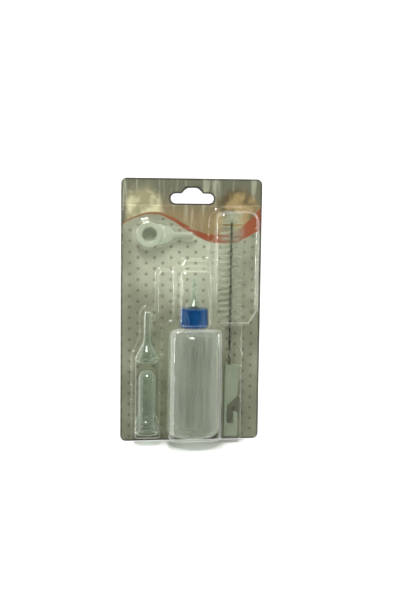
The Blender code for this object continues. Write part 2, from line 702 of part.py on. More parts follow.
def collar():
    top_radius = COLLAR_RADIUS - COLLAR_FLARE
    hole = TEAT_DOME_RADIUS + SEAT_GAP
    under_lip = COLLAR_HEIGHT - COLLAR_LIP
    profile = [
        (top_radius - COLLAR_EDGE, COLLAR_HEIGHT),
        (top_radius, COLLAR_HEIGHT - COLLAR_EDGE),
        (COLLAR_RADIUS, 0.0),
        (COLLAR_BORE, 0.0),
        (COLLAR_BORE, under_lip),
        (hole, under_lip),
        (hole, COLLAR_HEIGHT),
    ]
    place = (BOTTLE_X, -BOTTLE_DEPTH, COLLAR_FOOT_Z)
    ring = turned("screw_collar", profile, place, segments=40)
    neck_thread_z = NECK_TOP_Z - THREAD_BELOW_RIM - COLLAR_LIFT
    between_ridges = neck_thread_z - THREAD_LEAD / 2 - COLLAR_FOOT_Z
    ridge = thread("collar_thread", COLLAR_BORE - THREAD_SUNK, between_ridges, place)
    boolean(ring, "UNION", ridge)
    add_part(ring, make_material("blue_collar_plastic", (0.02, 0.22, 0.62), 0.3))


def silicone(name, alpha=0.45):
    return make_material(name, (0.82, 0.86, 0.82), 0.3, alpha=alpha)


def teat_profile(flange_radius, flange, base_radius, swell_height, tube_radius, tube_length):
    """A nursing teat: flange, a swelling base that narrows into a long tube, and a fine hole."""
    swell_foot = flange + TEAT_STEP
    tube_foot = swell_foot + swell_height
    tip = tube_foot + tube_length
    rounding = tube_radius * 0.5
    outer = [(TEAT_HOLE_RADIUS, tip)]
    outer += arc(tube_radius - rounding, tip - rounding, rounding, 80, 0, 3)
    for step in range(7):
        height = tube_foot - swell_height * step / 6
        ease = 0.5 - 0.5 * math.cos(math.pi * step / 6)
        outer.append((tube_radius + (base_radius - tube_radius) * ease, height))
    outer += [(base_radius, flange), (flange_radius, flange), (flange_radius, 0.0)]
    inner = [(base_radius - TEAT_WALL, 0.0)]
    for step in range(7):
        height = swell_foot + swell_height * step / 6 - TEAT_WALL / 2
        ease = 0.5 + 0.5 * math.cos(math.pi * step / 6)
        inner.append((tube_radius + (base_radius - tube_radius) * ease - TEAT_WALL, height))
    inner += [(tube_radius - TEAT_WALL, tip - 2 * TEAT_WALL), (TEAT_HOLE_RADIUS, tip - TEAT_WALL)]
    return outer + inner


def fitted_teat():
    profile = teat_profile(
        COLLAR_BORE - THREAD_GAP,
        TEAT_FLANGE,
        TEAT_DOME_RADIUS,
        TEAT_DOME_HEIGHT - TEAT_STEP,
        TEAT_TUBE_RADIUS,
        TEAT_TUBE_LENGTH,
    )
    teat = turned("fitted_teat", profile, (BOTTLE_X, -BOTTLE_DEPTH, TEAT_FOOT_Z), 24)
    add_part(teat, silicone("teat_silicone"))


def spare_teat_long():
    profile = teat_profile(
        LONG_FLANGE_RADIUS,
        LONG_FLANGE,
        LONG_CONE_RADIUS,
        LONG_CONE_HEIGHT - TEAT_STEP,
        LONG_TUBE_RADIUS,
        LONG_TUBE_LENGTH,
    )
    teat = turned("spare_teat_long", profile, (COLUMN_X, -LONG_DEPTH, LONG_FOOT_Z), 24)
    add_part(teat, silicone("spare_long_silicone"))


def spare_teat_bent():
    """The flange faces the front; the body behind it is folded flat towards the right."""
    back = -2 * BENT_BULB_RADIUS + BENT_OVERLAP
    profile = [
        (BENT_FLANGE_RADIUS - BENT_EDGE, BENT_FLANGE),
        (BENT_FLANGE_RADIUS, BENT_FLANGE - BENT_EDGE),
        (BENT_FLANGE_RADIUS, 0.0),
        (BENT_CUP_RADIUS, 0.0),
        (BENT_CUP_RADIUS, back + BENT_CUP_EDGE),
        (BENT_CUP_RADIUS - BENT_CUP_EDGE, back),
        (0.0, back),
        (0.0, BENT_FLANGE),
    ]
    centre_z = -BENT_BELOW_SLOT_CENTRE
    teat = turned("spare_teat_bent", profile, (BENT_X, -BENT_DEPTH, centre_z), 28)
    teat.rotation_euler = (math.pi / 2, 0, 0)
    lies = (BENT_X, -CARD_GAP - BENT_BULB_RADIUS, centre_z)
    points = []
    radii = []
    for step in range(BENT_STEPS + 1):
        share = math.sin(math.pi / 2 * step / BENT_STEPS)
        points.append((BENT_REACH * share, 0.0, 0.0))
        width = BENT_BODY_RADIUS - BENT_TUBE_RADIUS
        width = BENT_TUBE_RADIUS + width * math.sqrt(max(1 - share**BENT_FULLNESS, 0.0))
        radii.append(width / BENT_BODY_RADIUS)
    body = tube("bent_body", points, BENT_BODY_RADIUS, radii)
    body.scale = (1.0, BENT_BULB_RADIUS / BENT_BODY_RADIUS, 1.0)
    body.location = lies
    add_cutter(body)
    reach = BENT_REACH + BENT_TUBE_LENGTH
    nozzle = tube("bent_tube", [(BENT_REACH / 2, 0, 0), (reach, 0, 0)], BENT_TUBE_RADIUS)
    nozzle.location = lies
    add_cutter(nozzle)
    bore_depth = BENT_FLANGE - back - BENT_FLOOR
    bore = cylinder("bent_bore", BENT_HOLE_RADIUS, 2 * bore_depth, 24)
    bore.rotation_euler = (math.pi / 2, 0, 0)
    bore.location = (BENT_X, -BENT_DEPTH - BENT_FLANGE, centre_z)
    add_cutter(bore)
    boolean(teat, "UNION", body)
    boolean(teat, "UNION", nozzle)
    boolean(teat, "DIFFERENCE", bore)
    add_part(teat, silicone("spare_bent_silicone", alpha=0.8))


def cylinder(name, radius, length, segments):
    """A round rod about its own upright axis, centred on its origin."""
    bm = bmesh.new()
    bmesh.ops.create_cone(
        bm,
        cap_ends=True,
        segments=segments,
        radius1=radius,
        radius2=radius,
        depth=length,
    )
    return mesh_object(name, bm)


def finger_toothbrush():
    top = SLEEVE_LENGTH
    flare_top = SLEEVE_FOOT_HEIGHT
    bead_z = SLEEVE_BEAD_HEIGHT
    outer = arc(0, top - SLEEVE_RADIUS, SLEEVE_RADIUS, 90, 0, 6)
    outer[0] = (0.0, top)
    outer += [
        (SLEEVE_RADIUS, flare_top),
        (SLEEVE_RADIUS + SLEEVE_FLARE_REACH, bead_z + 2 * SLEEVE_BEAD),
        (SLEEVE_RADIUS + SLEEVE_BEAD_REACH, bead_z + SLEEVE_BEAD),
        (SLEEVE_RADIUS + SLEEVE_BEAD_REACH, bead_z),
        (SLEEVE_RADIUS + SLEEVE_WAIST_REACH, bead_z - SLEEVE_BEAD / 2),
        (SLEEVE_FOOT_RADIUS - SLEEVE_EDGE, 2 * SLEEVE_BEAD),
        (SLEEVE_FOOT_RADIUS, 1.5 * SLEEVE_BEAD),
        (SLEEVE_FOOT_RADIUS, 0.5 * SLEEVE_BEAD),
        (SLEEVE_FOOT_RADIUS - SLEEVE_EDGE, 0.0),
    ]
    bore = SLEEVE_RADIUS - SLEEVE_WALL
    inner = [(bore + SLEEVE_MOUTH_GROWTH, 0.0), (bore, flare_top / 2)]
    inner += arc(0, top - SLEEVE_RADIUS, bore, 0, 90, 6)
    inner[-1] = (0.0, top - SLEEVE_WALL)
    place = (COLUMN_X, -COLUMN_DEPTH, SLEEVE_FOOT_Z)
    sleeve = turned("finger_toothbrush", outer + inner, place)
    nubs = nub_field(place)
    boolean(sleeve, "UNION", nubs)
    add_part(sleeve, silicone("sleeve_silicone"))


def nub_field(place):
    """Rows of short rounded bristles standing out of the front of the sleeve."""
    bm = bmesh.new()
    sunk = SLEEVE_WALL / 2
    middle = (NUB_COLUMNS - 1) / 2
    for row in range(NUB_ROWS):
        height = SLEEVE_LENGTH - SLEEVE_RADIUS - row * NUB_SPACING
        for column in range(NUB_COLUMNS):
            angle = (column - middle) * NUB_FAN
            outward = Vector((math.sin(angle), -math.cos(angle), 0.0))
            centre = outward * (SLEEVE_RADIUS - sunk + (NUB_LENGTH + sunk) / 2)
            centre.z = height
            nub = bmesh.ops.create_cone(
                bm,
                cap_ends=True,
                segments=6,
                radius1=NUB_RADIUS,
                radius2=NUB_RADIUS * 0.6,
                depth=NUB_LENGTH + sunk,
            )["verts"]
            lie = outward.to_track_quat("Z", "Y").to_matrix()
            bmesh.ops.rotate(bm, verts=nub, matrix=lie)
            bmesh.ops.translate(bm, verts=nub, vec=centre)
    return add_cutter(mesh_object("nubs", bm, place))


def brush_wire():
    length = WIRE_TOP_Z - WIRE_FOOT_Z
    tip = WIRE_RADIUS - WIRE_EDGE
    profile = [
        (0.0, length),
        (tip, length - WIRE_EDGE),
        (WIRE_RADIUS, length - 3 * WIRE_EDGE),
        (WIRE_RADIUS, 0.0),
        (0.0, 0.0),
    ]
    wire = turned("brush_wire", profile, (BRUSH_X, -BRUSH_DEPTH, WIRE_FOOT_Z), 12)
    add_part(wire, make_material("galvanised_wire", (0.25, 0.25, 0.24), 0.35, 0.9))


def bristles():
    """Each turn of the twist grips one thin disc of bristles; a barrel of them ends the brush."""
    nylon = make_material("nylon_bristle", (0.80, 0.82, 0.78), 0.4, alpha=0.5)
    eye = WIRE_RADIUS + SEAT_GAP
    root = BRISTLE_ROOT / 2
    rim = BRISTLE_RIM / 2
    disc = [(BRISTLE_RADIUS, rim), (BRISTLE_RADIUS, -rim), (eye, -root), (eye, root)]
    for turn in range(BRISTLE_TURNS):
        height = BRISTLE_FOOT_Z + (turn + 0.5) * BRISTLE_PITCH
        place = (BRUSH_X, -BRUSH_DEPTH, height)
        add_part(turned(f"bristle_turn_{turn + 1:02d}", disc, place, 20), nylon)
    cup_radius = TUFT_RADIUS * 0.6
    tuft = [
        (TUFT_RADIUS * 0.85, TUFT_HEIGHT),
        (TUFT_RADIUS, TUFT_HEIGHT * 0.6),
        (TUFT_RADIUS, TUFT_HEIGHT * 0.2),
        (TUFT_RADIUS * 0.8, 0.0),
        (eye, 0.0),
        (eye, TUFT_HEIGHT - TUFT_CUP),
        (cup_radius, TUFT_HEIGHT),
    ]
    tuft_place = (BRUSH_X, -BRUSH_DEPTH, TUFT_FOOT_Z)
    add_part(turned("bristle_end_tuft", tuft, tuft_place, 20), nylon)


def brush_handle():
    left = -HANDLE_WIDTH / 2
    right = HANDLE_WIDTH / 2
    slot_left = left + HOOK_STRIP
    slot_right = slot_left + HOOK_SLOT_WIDTH
    corners = [
        (left, 0.0),
        (right, 0.0),
        (right, HOOK_PRONG_TOP),
        (slot_right, HOOK_PRONG_TOP),
        (slot_right, HOOK_SLOT_BOTTOM),
        (slot_left, HOOK_SLOT_BOTTOM),
        (slot_left, HOOK_MOUTH_LOW),
        (right, HOOK_MOUTH_TOP),
        (right, HANDLE_LENGTH),
        (left, HANDLE_LENGTH),
    ]
    slot_round = HOOK_SLOT_WIDTH * 0.48
    radii = [HANDLE_CORNER] * 3 + [HANDLE_CORNER * 0.6, slot_round, slot_round]
    radii += [HANDLE_CORNER] * 4
    outline = rounded_corners(corners, radii)
    place = (HANDLE_X, -BRUSH_DEPTH, HANDLE_FOOT_Z)
    handle = flat_piece("brush_handle", [outline], HANDLE_THICKNESS, place, HANDLE_EDGE)
    bore_length = WIRE_IN_HANDLE + 2 * SEAT_GAP
    bore = cylinder("wire_bore", WIRE_RADIUS + SEAT_GAP, bore_length, 12)
    bore.location = (BRUSH_X, -BRUSH_DEPTH, HANDLE_TOP_Z - bore_length / 2 + SEAT_GAP)
    add_cutter(bore)
    boolean(handle, "DIFFERENCE", bore)
    add_part(handle, make_material("white_handle_plastic", (0.78, 0.82, 0.76), 0.4))


clear_scene()
card()
blister()
bottle()
collar()
fitted_teat()
spare_teat_long()
spare_teat_bent()
finger_toothbrush()
brush_wire()
bristles()
brush_handle()
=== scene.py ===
"""Looks of the carded pet care kit: print, film, bottle, teats, finger toothbrush and brush."""

import math
import random

import bmesh
import bpy
from mathutils import Matrix, Vector, noise
from mathutils.bvhtree import BVHTree


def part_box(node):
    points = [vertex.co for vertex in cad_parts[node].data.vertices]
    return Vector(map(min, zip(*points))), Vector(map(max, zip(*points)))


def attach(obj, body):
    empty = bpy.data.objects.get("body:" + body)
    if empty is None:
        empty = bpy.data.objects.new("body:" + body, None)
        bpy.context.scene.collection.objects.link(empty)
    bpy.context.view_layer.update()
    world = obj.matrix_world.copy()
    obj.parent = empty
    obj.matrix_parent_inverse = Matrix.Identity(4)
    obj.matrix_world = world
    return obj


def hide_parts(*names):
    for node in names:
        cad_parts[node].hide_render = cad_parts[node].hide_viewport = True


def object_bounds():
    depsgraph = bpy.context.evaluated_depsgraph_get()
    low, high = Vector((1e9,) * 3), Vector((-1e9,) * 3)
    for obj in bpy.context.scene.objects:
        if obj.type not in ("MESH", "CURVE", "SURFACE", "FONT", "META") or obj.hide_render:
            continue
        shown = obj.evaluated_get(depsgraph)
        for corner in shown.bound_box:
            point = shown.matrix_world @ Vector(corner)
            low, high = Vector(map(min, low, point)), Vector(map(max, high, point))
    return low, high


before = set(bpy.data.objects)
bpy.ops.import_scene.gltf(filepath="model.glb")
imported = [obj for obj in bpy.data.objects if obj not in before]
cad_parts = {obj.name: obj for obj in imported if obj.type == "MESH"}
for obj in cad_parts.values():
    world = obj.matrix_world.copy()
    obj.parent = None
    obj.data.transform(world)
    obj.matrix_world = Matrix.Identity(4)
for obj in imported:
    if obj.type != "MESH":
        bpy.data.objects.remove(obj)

MM = 0.001
CAD_BOX = [list(corner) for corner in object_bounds()]
RNG = random.Random(7)

# The card's face, in millimetres from the middle of the hang slot.
CARD_SIDE = 52.25
CARD_TOP = 14.7
CARD_FOOT = -180.8
SLOT_BAR_HALF = 12.4
SLOT_BAR_RADIUS = 3.6
SLOT_PEAK = 7.8

GRAZING_GLOSS = 0.6
FILM_GLOSS = 0.065
SILICONE_GLOSS = 0.045


# ---------------------------------------------------------------- node graph helpers


class Graph:
    """A material's node tree, with short calls for the nodes used here."""

    def __init__(self, name):
        self.material = bpy.data.materials.new(name)
        self.material.use_nodes = True
        self.tree = self.material.node_tree
        self.tree.nodes.clear()
        self.output = self.tree.nodes.new("ShaderNodeOutputMaterial")

    def node(self, kind, inputs=None, **settings):
        made = self.tree.nodes.new("ShaderNode" + kind)
        for key, value in settings.items():
            setattr(made, key, value)
        for key, value in (inputs or {}).items():
            self.put(made.inputs[key], value)
        return made

    def put(self, socket, value):
        if isinstance(value, bpy.types.NodeSocket):
            self.tree.links.new(value, socket)
        elif socket.type == "RGBA" and len(value) == 3:
            socket.default_value = (*value, 1.0)
        else:
            socket.default_value = value

    def math(self, operation, a, b=0.0, c=0.0, clamp=False):
        made = self.tree.nodes.new("ShaderNodeMath")
        made.operation = operation
        made.use_clamp = clamp
        for socket, value in zip(made.inputs, (a, b, c)):
            self.put(socket, value)
        return made.outputs[0]

    def step(self, value, low, high, start=0.0, end=1.0):
        """value mapped smoothly from low..high to start..end, and held outside."""
        made = self.node("MapRange", interpolation_type="SMOOTHSTEP")
        for key, number in zip(
            ("Value", "From Min", "From Max", "To Min", "To Max"), (value, low, high, start, end)
        ):
            self.put(made.inputs[key], number)
        return made.outputs[0]

    def mix(self, factor, first, second, blend="MIX"):
        made = self.tree.nodes.new("ShaderNodeMix")
        made.data_type = "RGBA"
        made.blend_type = blend
        self.put(made.inputs["Factor"], factor)
        self.put(made.inputs["A"], first)
        self.put(made.inputs["B"], second)
        return made.outputs["Result"]

    def noise(self, scale, detail=3.0, vector=None, stretch=None, distortion=0.0):
        coordinate = vector or self.place()
        if stretch:
            coordinate = self.node("Mapping", {"Vector": coordinate, "Scale": stretch}).outputs[0]
        inputs = {"Vector": coordinate, "Scale": scale, "Detail": detail, "Distortion": distortion}
        return self.node("TexNoise", inputs).outputs["Fac"]

    def place(self):
        return self.node("TexCoord").outputs["Object"]

    def bump(self, height, strength, distance=0.0002):
        inputs = {"Height": height, "Strength": strength, "Distance": distance}
        return self.node("Bump", inputs).outputs[0]

    def principled(self, colour, roughness, **more):
        inputs = {"Base Color": colour, "Roughness": roughness}
        inputs.update({key.replace("_", " "): value for key, value in more.items()})
        return self.node("BsdfPrincipled", inputs).outputs[0]

    def blend(self, factor, first, second):
        made = self.node("MixShader")
        self.put(made.inputs[0], factor)
        self.tree.links.new(first, made.inputs[1])
        self.tree.links.new(second, made.inputs[2])
        return made.outputs[0]

    def mirror(self, head_on):
        """Share of light mirrored: head_on when seen square, and GRAZING_GLOSS more edge on."""
        facing = self.node("LayerWeight", {"Blend": 0.5}).outputs["Facing"]
        return self.math("MULTIPLY_ADD", self.math("POWER", facing, 5.0), GRAZING_GLOSS, head_on)

    def done(self, shader):
        self.tree.links.new(shader, self.output.inputs["Surface"])
        return self.material


# ---------------------------------------------------------------- materials


def film_material(name, tint, gloss_roughness, wrinkle):
    """Clear film: a clean see-through sheet with a mirror that grows towards grazing."""
    g = Graph(name)
    ripple = g.noise(95.0, 2.0, distortion=0.4)
    normal = g.bump(ripple, wrinkle, 0.0006)
    clear = g.node("BsdfTransparent", {"Color": tint}).outputs[0]
    gloss = g.node(
        "BsdfAnisotropic",
        {"Color": (1.0, 1.0, 0.97), "Roughness": gloss_roughness, "Normal": normal},
    ).outputs[0]
    return g.done(g.blend(g.mirror(FILM_GLOSS), clear, gloss))


def milky_material(name, colour, body, edge_body, gloss, cloud_scale=60.0, streak=0.0):
    """Clouded plastic or silicone: part see-through, denser where the wall is seen edge on."""
    g = Graph(name)
    cloud = g.noise(cloud_scale, 3.0)
    shade = g.mix(g.step(cloud, 0.3, 0.7), colour, tuple(c * 0.86 for c in colour))
    normal = g.bump(g.noise(cloud_scale * 14, 2.0), 0.12, 0.0001)
    dense = g.node("BsdfDiffuse", {"Color": shade, "Normal": normal}).outputs[0]
    glow = g.node("BsdfTranslucent", {"Color": shade, "Normal": normal}).outputs[0]
    clear = g.node("BsdfTransparent", {"Color": (0.94, 0.97, 0.95)}).outputs[0]
    facing = g.node("LayerWeight", {"Blend": 0.35}).outputs["Facing"]
    share = g.step(facing, 0.15, 0.95, body, edge_body)
    if streak:
        lines = g.noise(420.0, 3.0, stretch=(1.0, 1.0, 0.06), distortion=0.5)
        share = g.math("ADD", share, g.step(lines, 0.38, 0.62, -streak, streak), clamp=True)
    solid = g.blend(0.35, dense, glow)
    inner = g.blend(share, clear, solid)
    shine = g.node(
        "BsdfAnisotropic", {"Color": (1.0, 1.0, 1.0), "Roughness": gloss, "Normal": normal}
    ).outputs[0]
    return g.done(g.blend(g.mirror(SILICONE_GLOSS), inner, shine))


def print_material():
    """The printed board: a soft brown header, a red wave, and a grey ground of small paw dots."""
    g = Graph("printed_board")
    position = g.place()
    split = g.node("SeparateXYZ", {"Vector": position})
    x = g.math("MULTIPLY", split.outputs["X"], 1 / MM)
    z = g.math("MULTIPLY", split.outputs["Z"], 1 / MM)
    header = header_print(g, x, z)
    ground = ground_print(g, x, z)
    edge = wave_height(g, x, WAVE_LOW)
    band = g.math("SUBTRACT", z, edge)
    thickness = wave_height(g, x, WAVE_THICK)
    below = g.step(band, -0.35, 0.35)
    above = g.step(g.math("SUBTRACT", band, thickness), -0.5, 0.5)
    red_left = (0.30, 0.155, 0.075)
    red_right = (0.33, 0.085, 0.035)
    red = g.mix(g.step(x, -40.0, 0.0), red_left, red_right)
    face = g.mix(above, g.mix(below, ground, red), header)
    mottle = g.noise(900.0, 2.0)
    face = g.mix(g.step(mottle, 0.25, 0.75, 0.0, 0.10), face, (0.0, 0.0, 0.0))
    # Painted shade: darkens the printed face along the hang slot and the card's rim.
    face = g.mix(painted_edge_shade(g, x, z), face, (0.05, 0.05, 0.035))
    way = g.node("SeparateXYZ", {"Vector": g.node("TexCoord").outputs["Normal"]})
    front = g.math("LESS_THAN", way.outputs["Y"], -0.5)
    fibre = g.noise(700.0, 4.0, stretch=(1.0, 1.0, 0.25))
    plain = g.mix(g.step(fibre, 0.3, 0.7), (0.46, 0.46, 0.42), (0.38, 0.38, 0.345))
    colour = g.mix(front, plain, face)
    rough = g.step(g.noise(240.0, 2.0), 0.3, 0.7, 0.34, 0.5)
    normal = g.bump(g.noise(60.0, 2.0), 0.15, 0.0008)
    return g.done(g.principled(colour, rough, Normal=normal, Metallic=0.0))


def painted_edge_shade(g, x, z):
    """Painted shade: a dark line round the hang slot and along the card's rim, standing for the
    card's cut edge in shadow.
    """
    side = g.math("ABSOLUTE", x)
    past = g.math("MAXIMUM", g.math("SUBTRACT", side, SLOT_BAR_HALF), 0.0)
    bar = g.math("SQRT", g.math("ADD", g.math("MULTIPLY", past, past), g.math("MULTIPLY", z, z)))
    bar = g.math("SUBTRACT", bar, SLOT_BAR_RADIUS)
    slant = g.math("MULTIPLY_ADD", z, 0.64, g.math("MULTIPLY_ADD", side, 0.77, -8.46))
    peak = g.math("MAXIMUM", slant, g.math("SUBTRACT", z, SLOT_PEAK))
    peak = g.math("MAXIMUM", peak, g.math("SUBTRACT", 0.0, z))
    slot = g.math("MINIMUM", bar, peak)
    rim = g.math("MINIMUM", g.math("SUBTRACT", CARD_SIDE, side), g.math("SUBTRACT", CARD_TOP, z))
    rim = g.math("MINIMUM", rim, g.math("ADD", z, -CARD_FOOT))
    near_slot = g.step(slot, 0.8, 1.7, 0.95, 0.0)
    near_rim = g.step(rim, 0.6, 1.8, 0.8, 0.0)
    return g.math("MAXIMUM", near_slot, near_rim)


# Heights of the wave above the slot centre, left to right at even steps, in millimetres.
WAVE_LOW = (-20.5, -14.0, -11.6, -15.0, -22.0, -28.6, -32.6, -33.0, -28.5, -21.0)
WAVE_THICK = (1.3, 1.3, 1.6, 2.4, 3.4, 4.4, 6.0, 7.5, 11.0, 16.0)


def wave_height(g, x, heights):
    """A smooth curve of height against x through evenly spaced values."""
    low, high = min(heights), max(heights)
    share = g.math("DIVIDE", g.math("ADD", x, CARD_SIDE), 2 * CARD_SIDE)
    node = g.node("FloatCurve", {"Value": share})
    curve = node.mapping.curves[0]
    last = len(heights) - 1
    for index, height in enumerate(heights):
        level = (height - low) / (high - low)
        if index in (0, last):
            curve.points[0 if index == 0 else -1].location = (index / last, level)
        else:
            curve.points.new(index / last, level)
    node.mapping.update()
    return g.math("MULTIPLY_ADD", node.outputs[0], high - low, low)


def blob(g, x, z, centre, radii, soft, wobble):
    """A soft-edged oval field, 1 inside, its edge pushed about by slow noise."""
    across = g.math("DIVIDE", g.math("SUBTRACT", x, centre[0]), radii[0])
    up = g.math("DIVIDE", g.math("SUBTRACT", z, centre[1]), radii[1])
    squares = g.math("ADD", g.math("MULTIPLY", across, across), g.math("MULTIPLY", up, up))
    reach = g.math("SQRT", squares)
    pushed = g.math("MULTIPLY_ADD", wobble, 0.7, g.math("SUBTRACT", reach, 0.35))
    return g.step(pushed, 1.0 - soft, 1.0 + soft, 1.0, 0.0)


def header_print(g, x, z):
    """Brown and grey with upright painted highlight streaks for the film's sheen, and two soft
    out-of-focus fields.
    """
    wobble = g.noise(70.0, 3.0)
    streak = g.noise(60.0, 4.0, stretch=(3.0, 1.0, 0.35), distortion=0.8)
    brown = (0.33, 0.235, 0.12)
    grey = (0.17, 0.165, 0.115)
    colour = g.mix(g.step(z, -20.0, 8.0), brown, grey)
    colour = g.mix(g.step(x, -44.0, -52.0), colour, (0.15, 0.15, 0.11))
    # Painted highlight: lighter upright streaks stand for sheen and reflections on the film over
    # the header.
    light = g.mix(0.62, colour, (0.60, 0.58, 0.44))
    colour = g.mix(g.step(streak, 0.52, 0.72), colour, light)
    cream = blob(g, x, z, (-36.0, -8.0), (12.0, 18.0), 0.28, wobble)
    pale = g.mix(g.step(wobble, 0.42, 0.58), (0.68, 0.63, 0.41), (0.36, 0.33, 0.20))
    colour = g.mix(cream, colour, pale)
    tan = blob(g, x, z, (33.0, -8.0), (16.0, 16.0), 0.25, wobble)
    warm = g.mix(g.step(wobble, 0.40, 0.60), (0.42, 0.30, 0.14), (0.13, 0.095, 0.045))
    return g.mix(tan, colour, warm)


# Spacing of the paw dots, and each pad as (x, z, half width, half height), in millimetres.
PAW_COLUMN = 6.1
PAW_ROW = 8.1
ROWS_ABOVE_ZERO = 400.0
PAW_PADS = (
    (0.0, -0.42, 0.78, 0.62),
    (-0.98, 0.30, 0.32, 0.42),
    (-0.36, 0.84, 0.32, 0.42),
    (0.36, 0.84, 0.32, 0.42),
    (0.98, 0.30, 0.32, 0.42),
)


def ground_print(g, x, z):
    """Grey board with a light middle, and staggered columns of plain paw dots."""
    column = g.math("FLOOR", g.math("DIVIDE", x, PAW_COLUMN))
    across = g.math("SUBTRACT", x, g.math("MULTIPLY", g.math("ADD", column, 0.5), PAW_COLUMN))
    odd = g.math("MULTIPLY", g.math("MODULO", g.math("ABSOLUTE", column), 2.0), PAW_ROW / 2)
    lifted = g.math("ADD", z, g.math("ADD", odd, ROWS_ABOVE_ZERO))
    row = g.math("FLOOR", g.math("DIVIDE", lifted, PAW_ROW))
    up = g.math("SUBTRACT", lifted, g.math("MULTIPLY", g.math("ADD", row, 0.5), PAW_ROW))
    nearest = None
    for pad_x, pad_z, half_width, half_height in PAW_PADS:
        dx = g.math("DIVIDE", g.math("SUBTRACT", across, pad_x), half_width)
        dz = g.math("DIVIDE", g.math("SUBTRACT", up, pad_z), half_height)
        reach = g.math("ADD", g.math("MULTIPLY", dx, dx), g.math("MULTIPLY", dz, dz))
        nearest = reach if nearest is None else g.math("MINIMUM", nearest, reach)
    paw = g.step(nearest, 0.8, 1.3, 1.0, 0.0)
    slow = g.noise(38.0, 2.0)
    colour = g.mix(g.step(slow, 0.35, 0.65), (0.36, 0.36, 0.265), (0.27, 0.27, 0.195))
    middle = blob(g, x, z, (-4.0, -45.0), (34.0, 30.0), 0.7, slow)
    colour = g.mix(middle, colour, (0.54, 0.55, 0.43))
    colour = g.mix(g.step(z, -90.0, -175.0, 0.0, 0.35), colour, (0.16, 0.155, 0.105))
    return g.mix(g.math("MULTIPLY", paw, 0.66), colour, (0.07, 0.07, 0.05))


def collar_material():
    g = Graph("blue_collar")
    tone = g.noise(160.0, 2.0)
    colour = g.mix(g.step(tone, 0.3, 0.7), (0.0, 0.040, 0.150), (0.0, 0.060, 0.205))
    normal = g.bump(g.noise(1400.0, 2.0), 0.1, 0.0001)
    rough = g.step(g.noise(300.0), 0.3, 0.7, 0.10, 0.2)
    return g.done(g.principled(colour, rough, Normal=normal))


def wire_material():
    g = Graph("twisted_wire")
    tone = g.noise(800.0, 3.0)
    colour = g.mix(g.step(tone, 0.3, 0.7), (0.10, 0.10, 0.08), (0.34, 0.34, 0.28))
    rough = g.step(tone, 0.3, 0.7, 0.18, 0.36)
    return g.done(g.principled(colour, rough, Metallic=0.9))


def bristle_material():
    g = Graph("nylon_bristle")
    tone = g.noise(500.0, 2.0)
    colour = g.mix(g.step(tone, 0.3, 0.7), (0.72, 0.74, 0.62), (0.58, 0.60, 0.50))
    fibre = g.principled(colour, 0.35)
    clear = g.node("BsdfTransparent", {"Color": (0.97, 0.98, 0.96)}).outputs[0]
    return g.done(g.blend(0.28, clear, fibre))


def handle_material():
    g = Graph("milky_handle")
    cloud = g.noise(110.0, 3.0)
    colour = g.mix(g.step(cloud, 0.3, 0.7), (0.29, 0.32, 0.24), (0.25, 0.28, 0.205))
    normal = g.bump(g.noise(900.0, 2.0), 0.15, 0.0001)
    depth = (3 * MM, 3 * MM, 3 * MM)
    return g.done(
        g.principled(colour, 0.36, Normal=normal, Subsurface_Weight=0.25, Subsurface_Radius=depth)
    )


# ---------------------------------------------------------------- mesh helpers


def add_object(name, mesh, material):
    obj = bpy.data.objects.new(name, mesh)
    bpy.context.scene.collection.objects.link(obj)
    mesh.materials.clear()
    mesh.materials.append(material)
    return obj


def place_piece(obj, body, nodes):
    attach(obj, body)
    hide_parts(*nodes)
    return obj


def mesh_from(name, bm, angle=35.0):
    bmesh.ops.recalc_face_normals(bm, faces=bm.faces)
    mesh = bpy.data.meshes.new(name)
    bm.to_mesh(mesh)
    bm.free()
    mesh.shade_smooth()
    mesh.set_sharp_from_angle(angle=math.radians(angle))
    return mesh


def arc(centre_x, centre_z, radius, start, end, steps):
    angles = [math.radians(start + (end - start) * i / steps) for i in range(steps + 1)]
    return [(centre_x + radius * math.cos(a), centre_z + radius * math.sin(a)) for a in angles]


def lathe_into(bm, profile, place, segments=96, lie=None):
    """Spins a profile of (radius, height) points about the upright axis into bm."""
    matrix = Matrix.Translation(place) @ (lie or Matrix.Identity(4))
    points = [bm.verts.new((radius, 0.0, height)) for radius, height in profile]
    edges = []
    for first, second in zip(points, points[1:]):
        if first.co.x > 0 or second.co.x > 0:
            edges.append(bm.edges.new((first, second)))
    if profile[0][0] > 0:
        edges.append(bm.edges.new((points[-1], points[0])))
    before = {v for v in bm.verts if v not in points}
    bmesh.ops.spin(
        bm, geom=points + edges, cent=(0, 0, 0), axis=(0, 0, 1), steps=segments, angle=math.tau
    )
    made = [v for v in bm.verts if v not in before]
    bmesh.ops.remove_doubles(bm, verts=made, dist=1e-6)
    made = [v for v in bm.verts if v not in before]
    bmesh.ops.transform(bm, matrix=matrix, verts=made)


def axis_of(node):
    """Upright axis, foot, height and radius of a turned CAD node."""
    low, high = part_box(node)
    centre = ((low[0] + high[0]) / 2, (low[1] + high[1]) / 2)
    return centre, low[2], high[2] - low[2], (high[0] - low[0]) / 2


def softened(name, node, material, voxel, rounds):
    """A CAD node's shape with its facets melted into one smooth moulded form."""
    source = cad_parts[node]
    obj = add_object(name, source.data.copy(), material)
    melt_facets(obj, voxel, rounds)
    return apply_modifiers(obj, material)


def melt_facets(obj, voxel, rounds):
    remesh = obj.modifiers.new("voxels", "REMESH")
    remesh.mode = "VOXEL"
    remesh.voxel_size = voxel
    remesh.use_smooth_shade = True
    melt = obj.modifiers.new("melt", "SMOOTH")
    melt.iterations = rounds
    melt.factor = 0.5


def apply_modifiers(obj, material):
    bpy.context.view_layer.update()
    graph = bpy.context.evaluated_depsgraph_get()
    mesh = bpy.data.meshes.new_from_object(obj.evaluated_get(graph))
    obj.modifiers.clear()
    obj.data = mesh
    mesh.materials.clear()
    mesh.materials.append(material)
    return obj


# ---------------------------------------------------------------- film


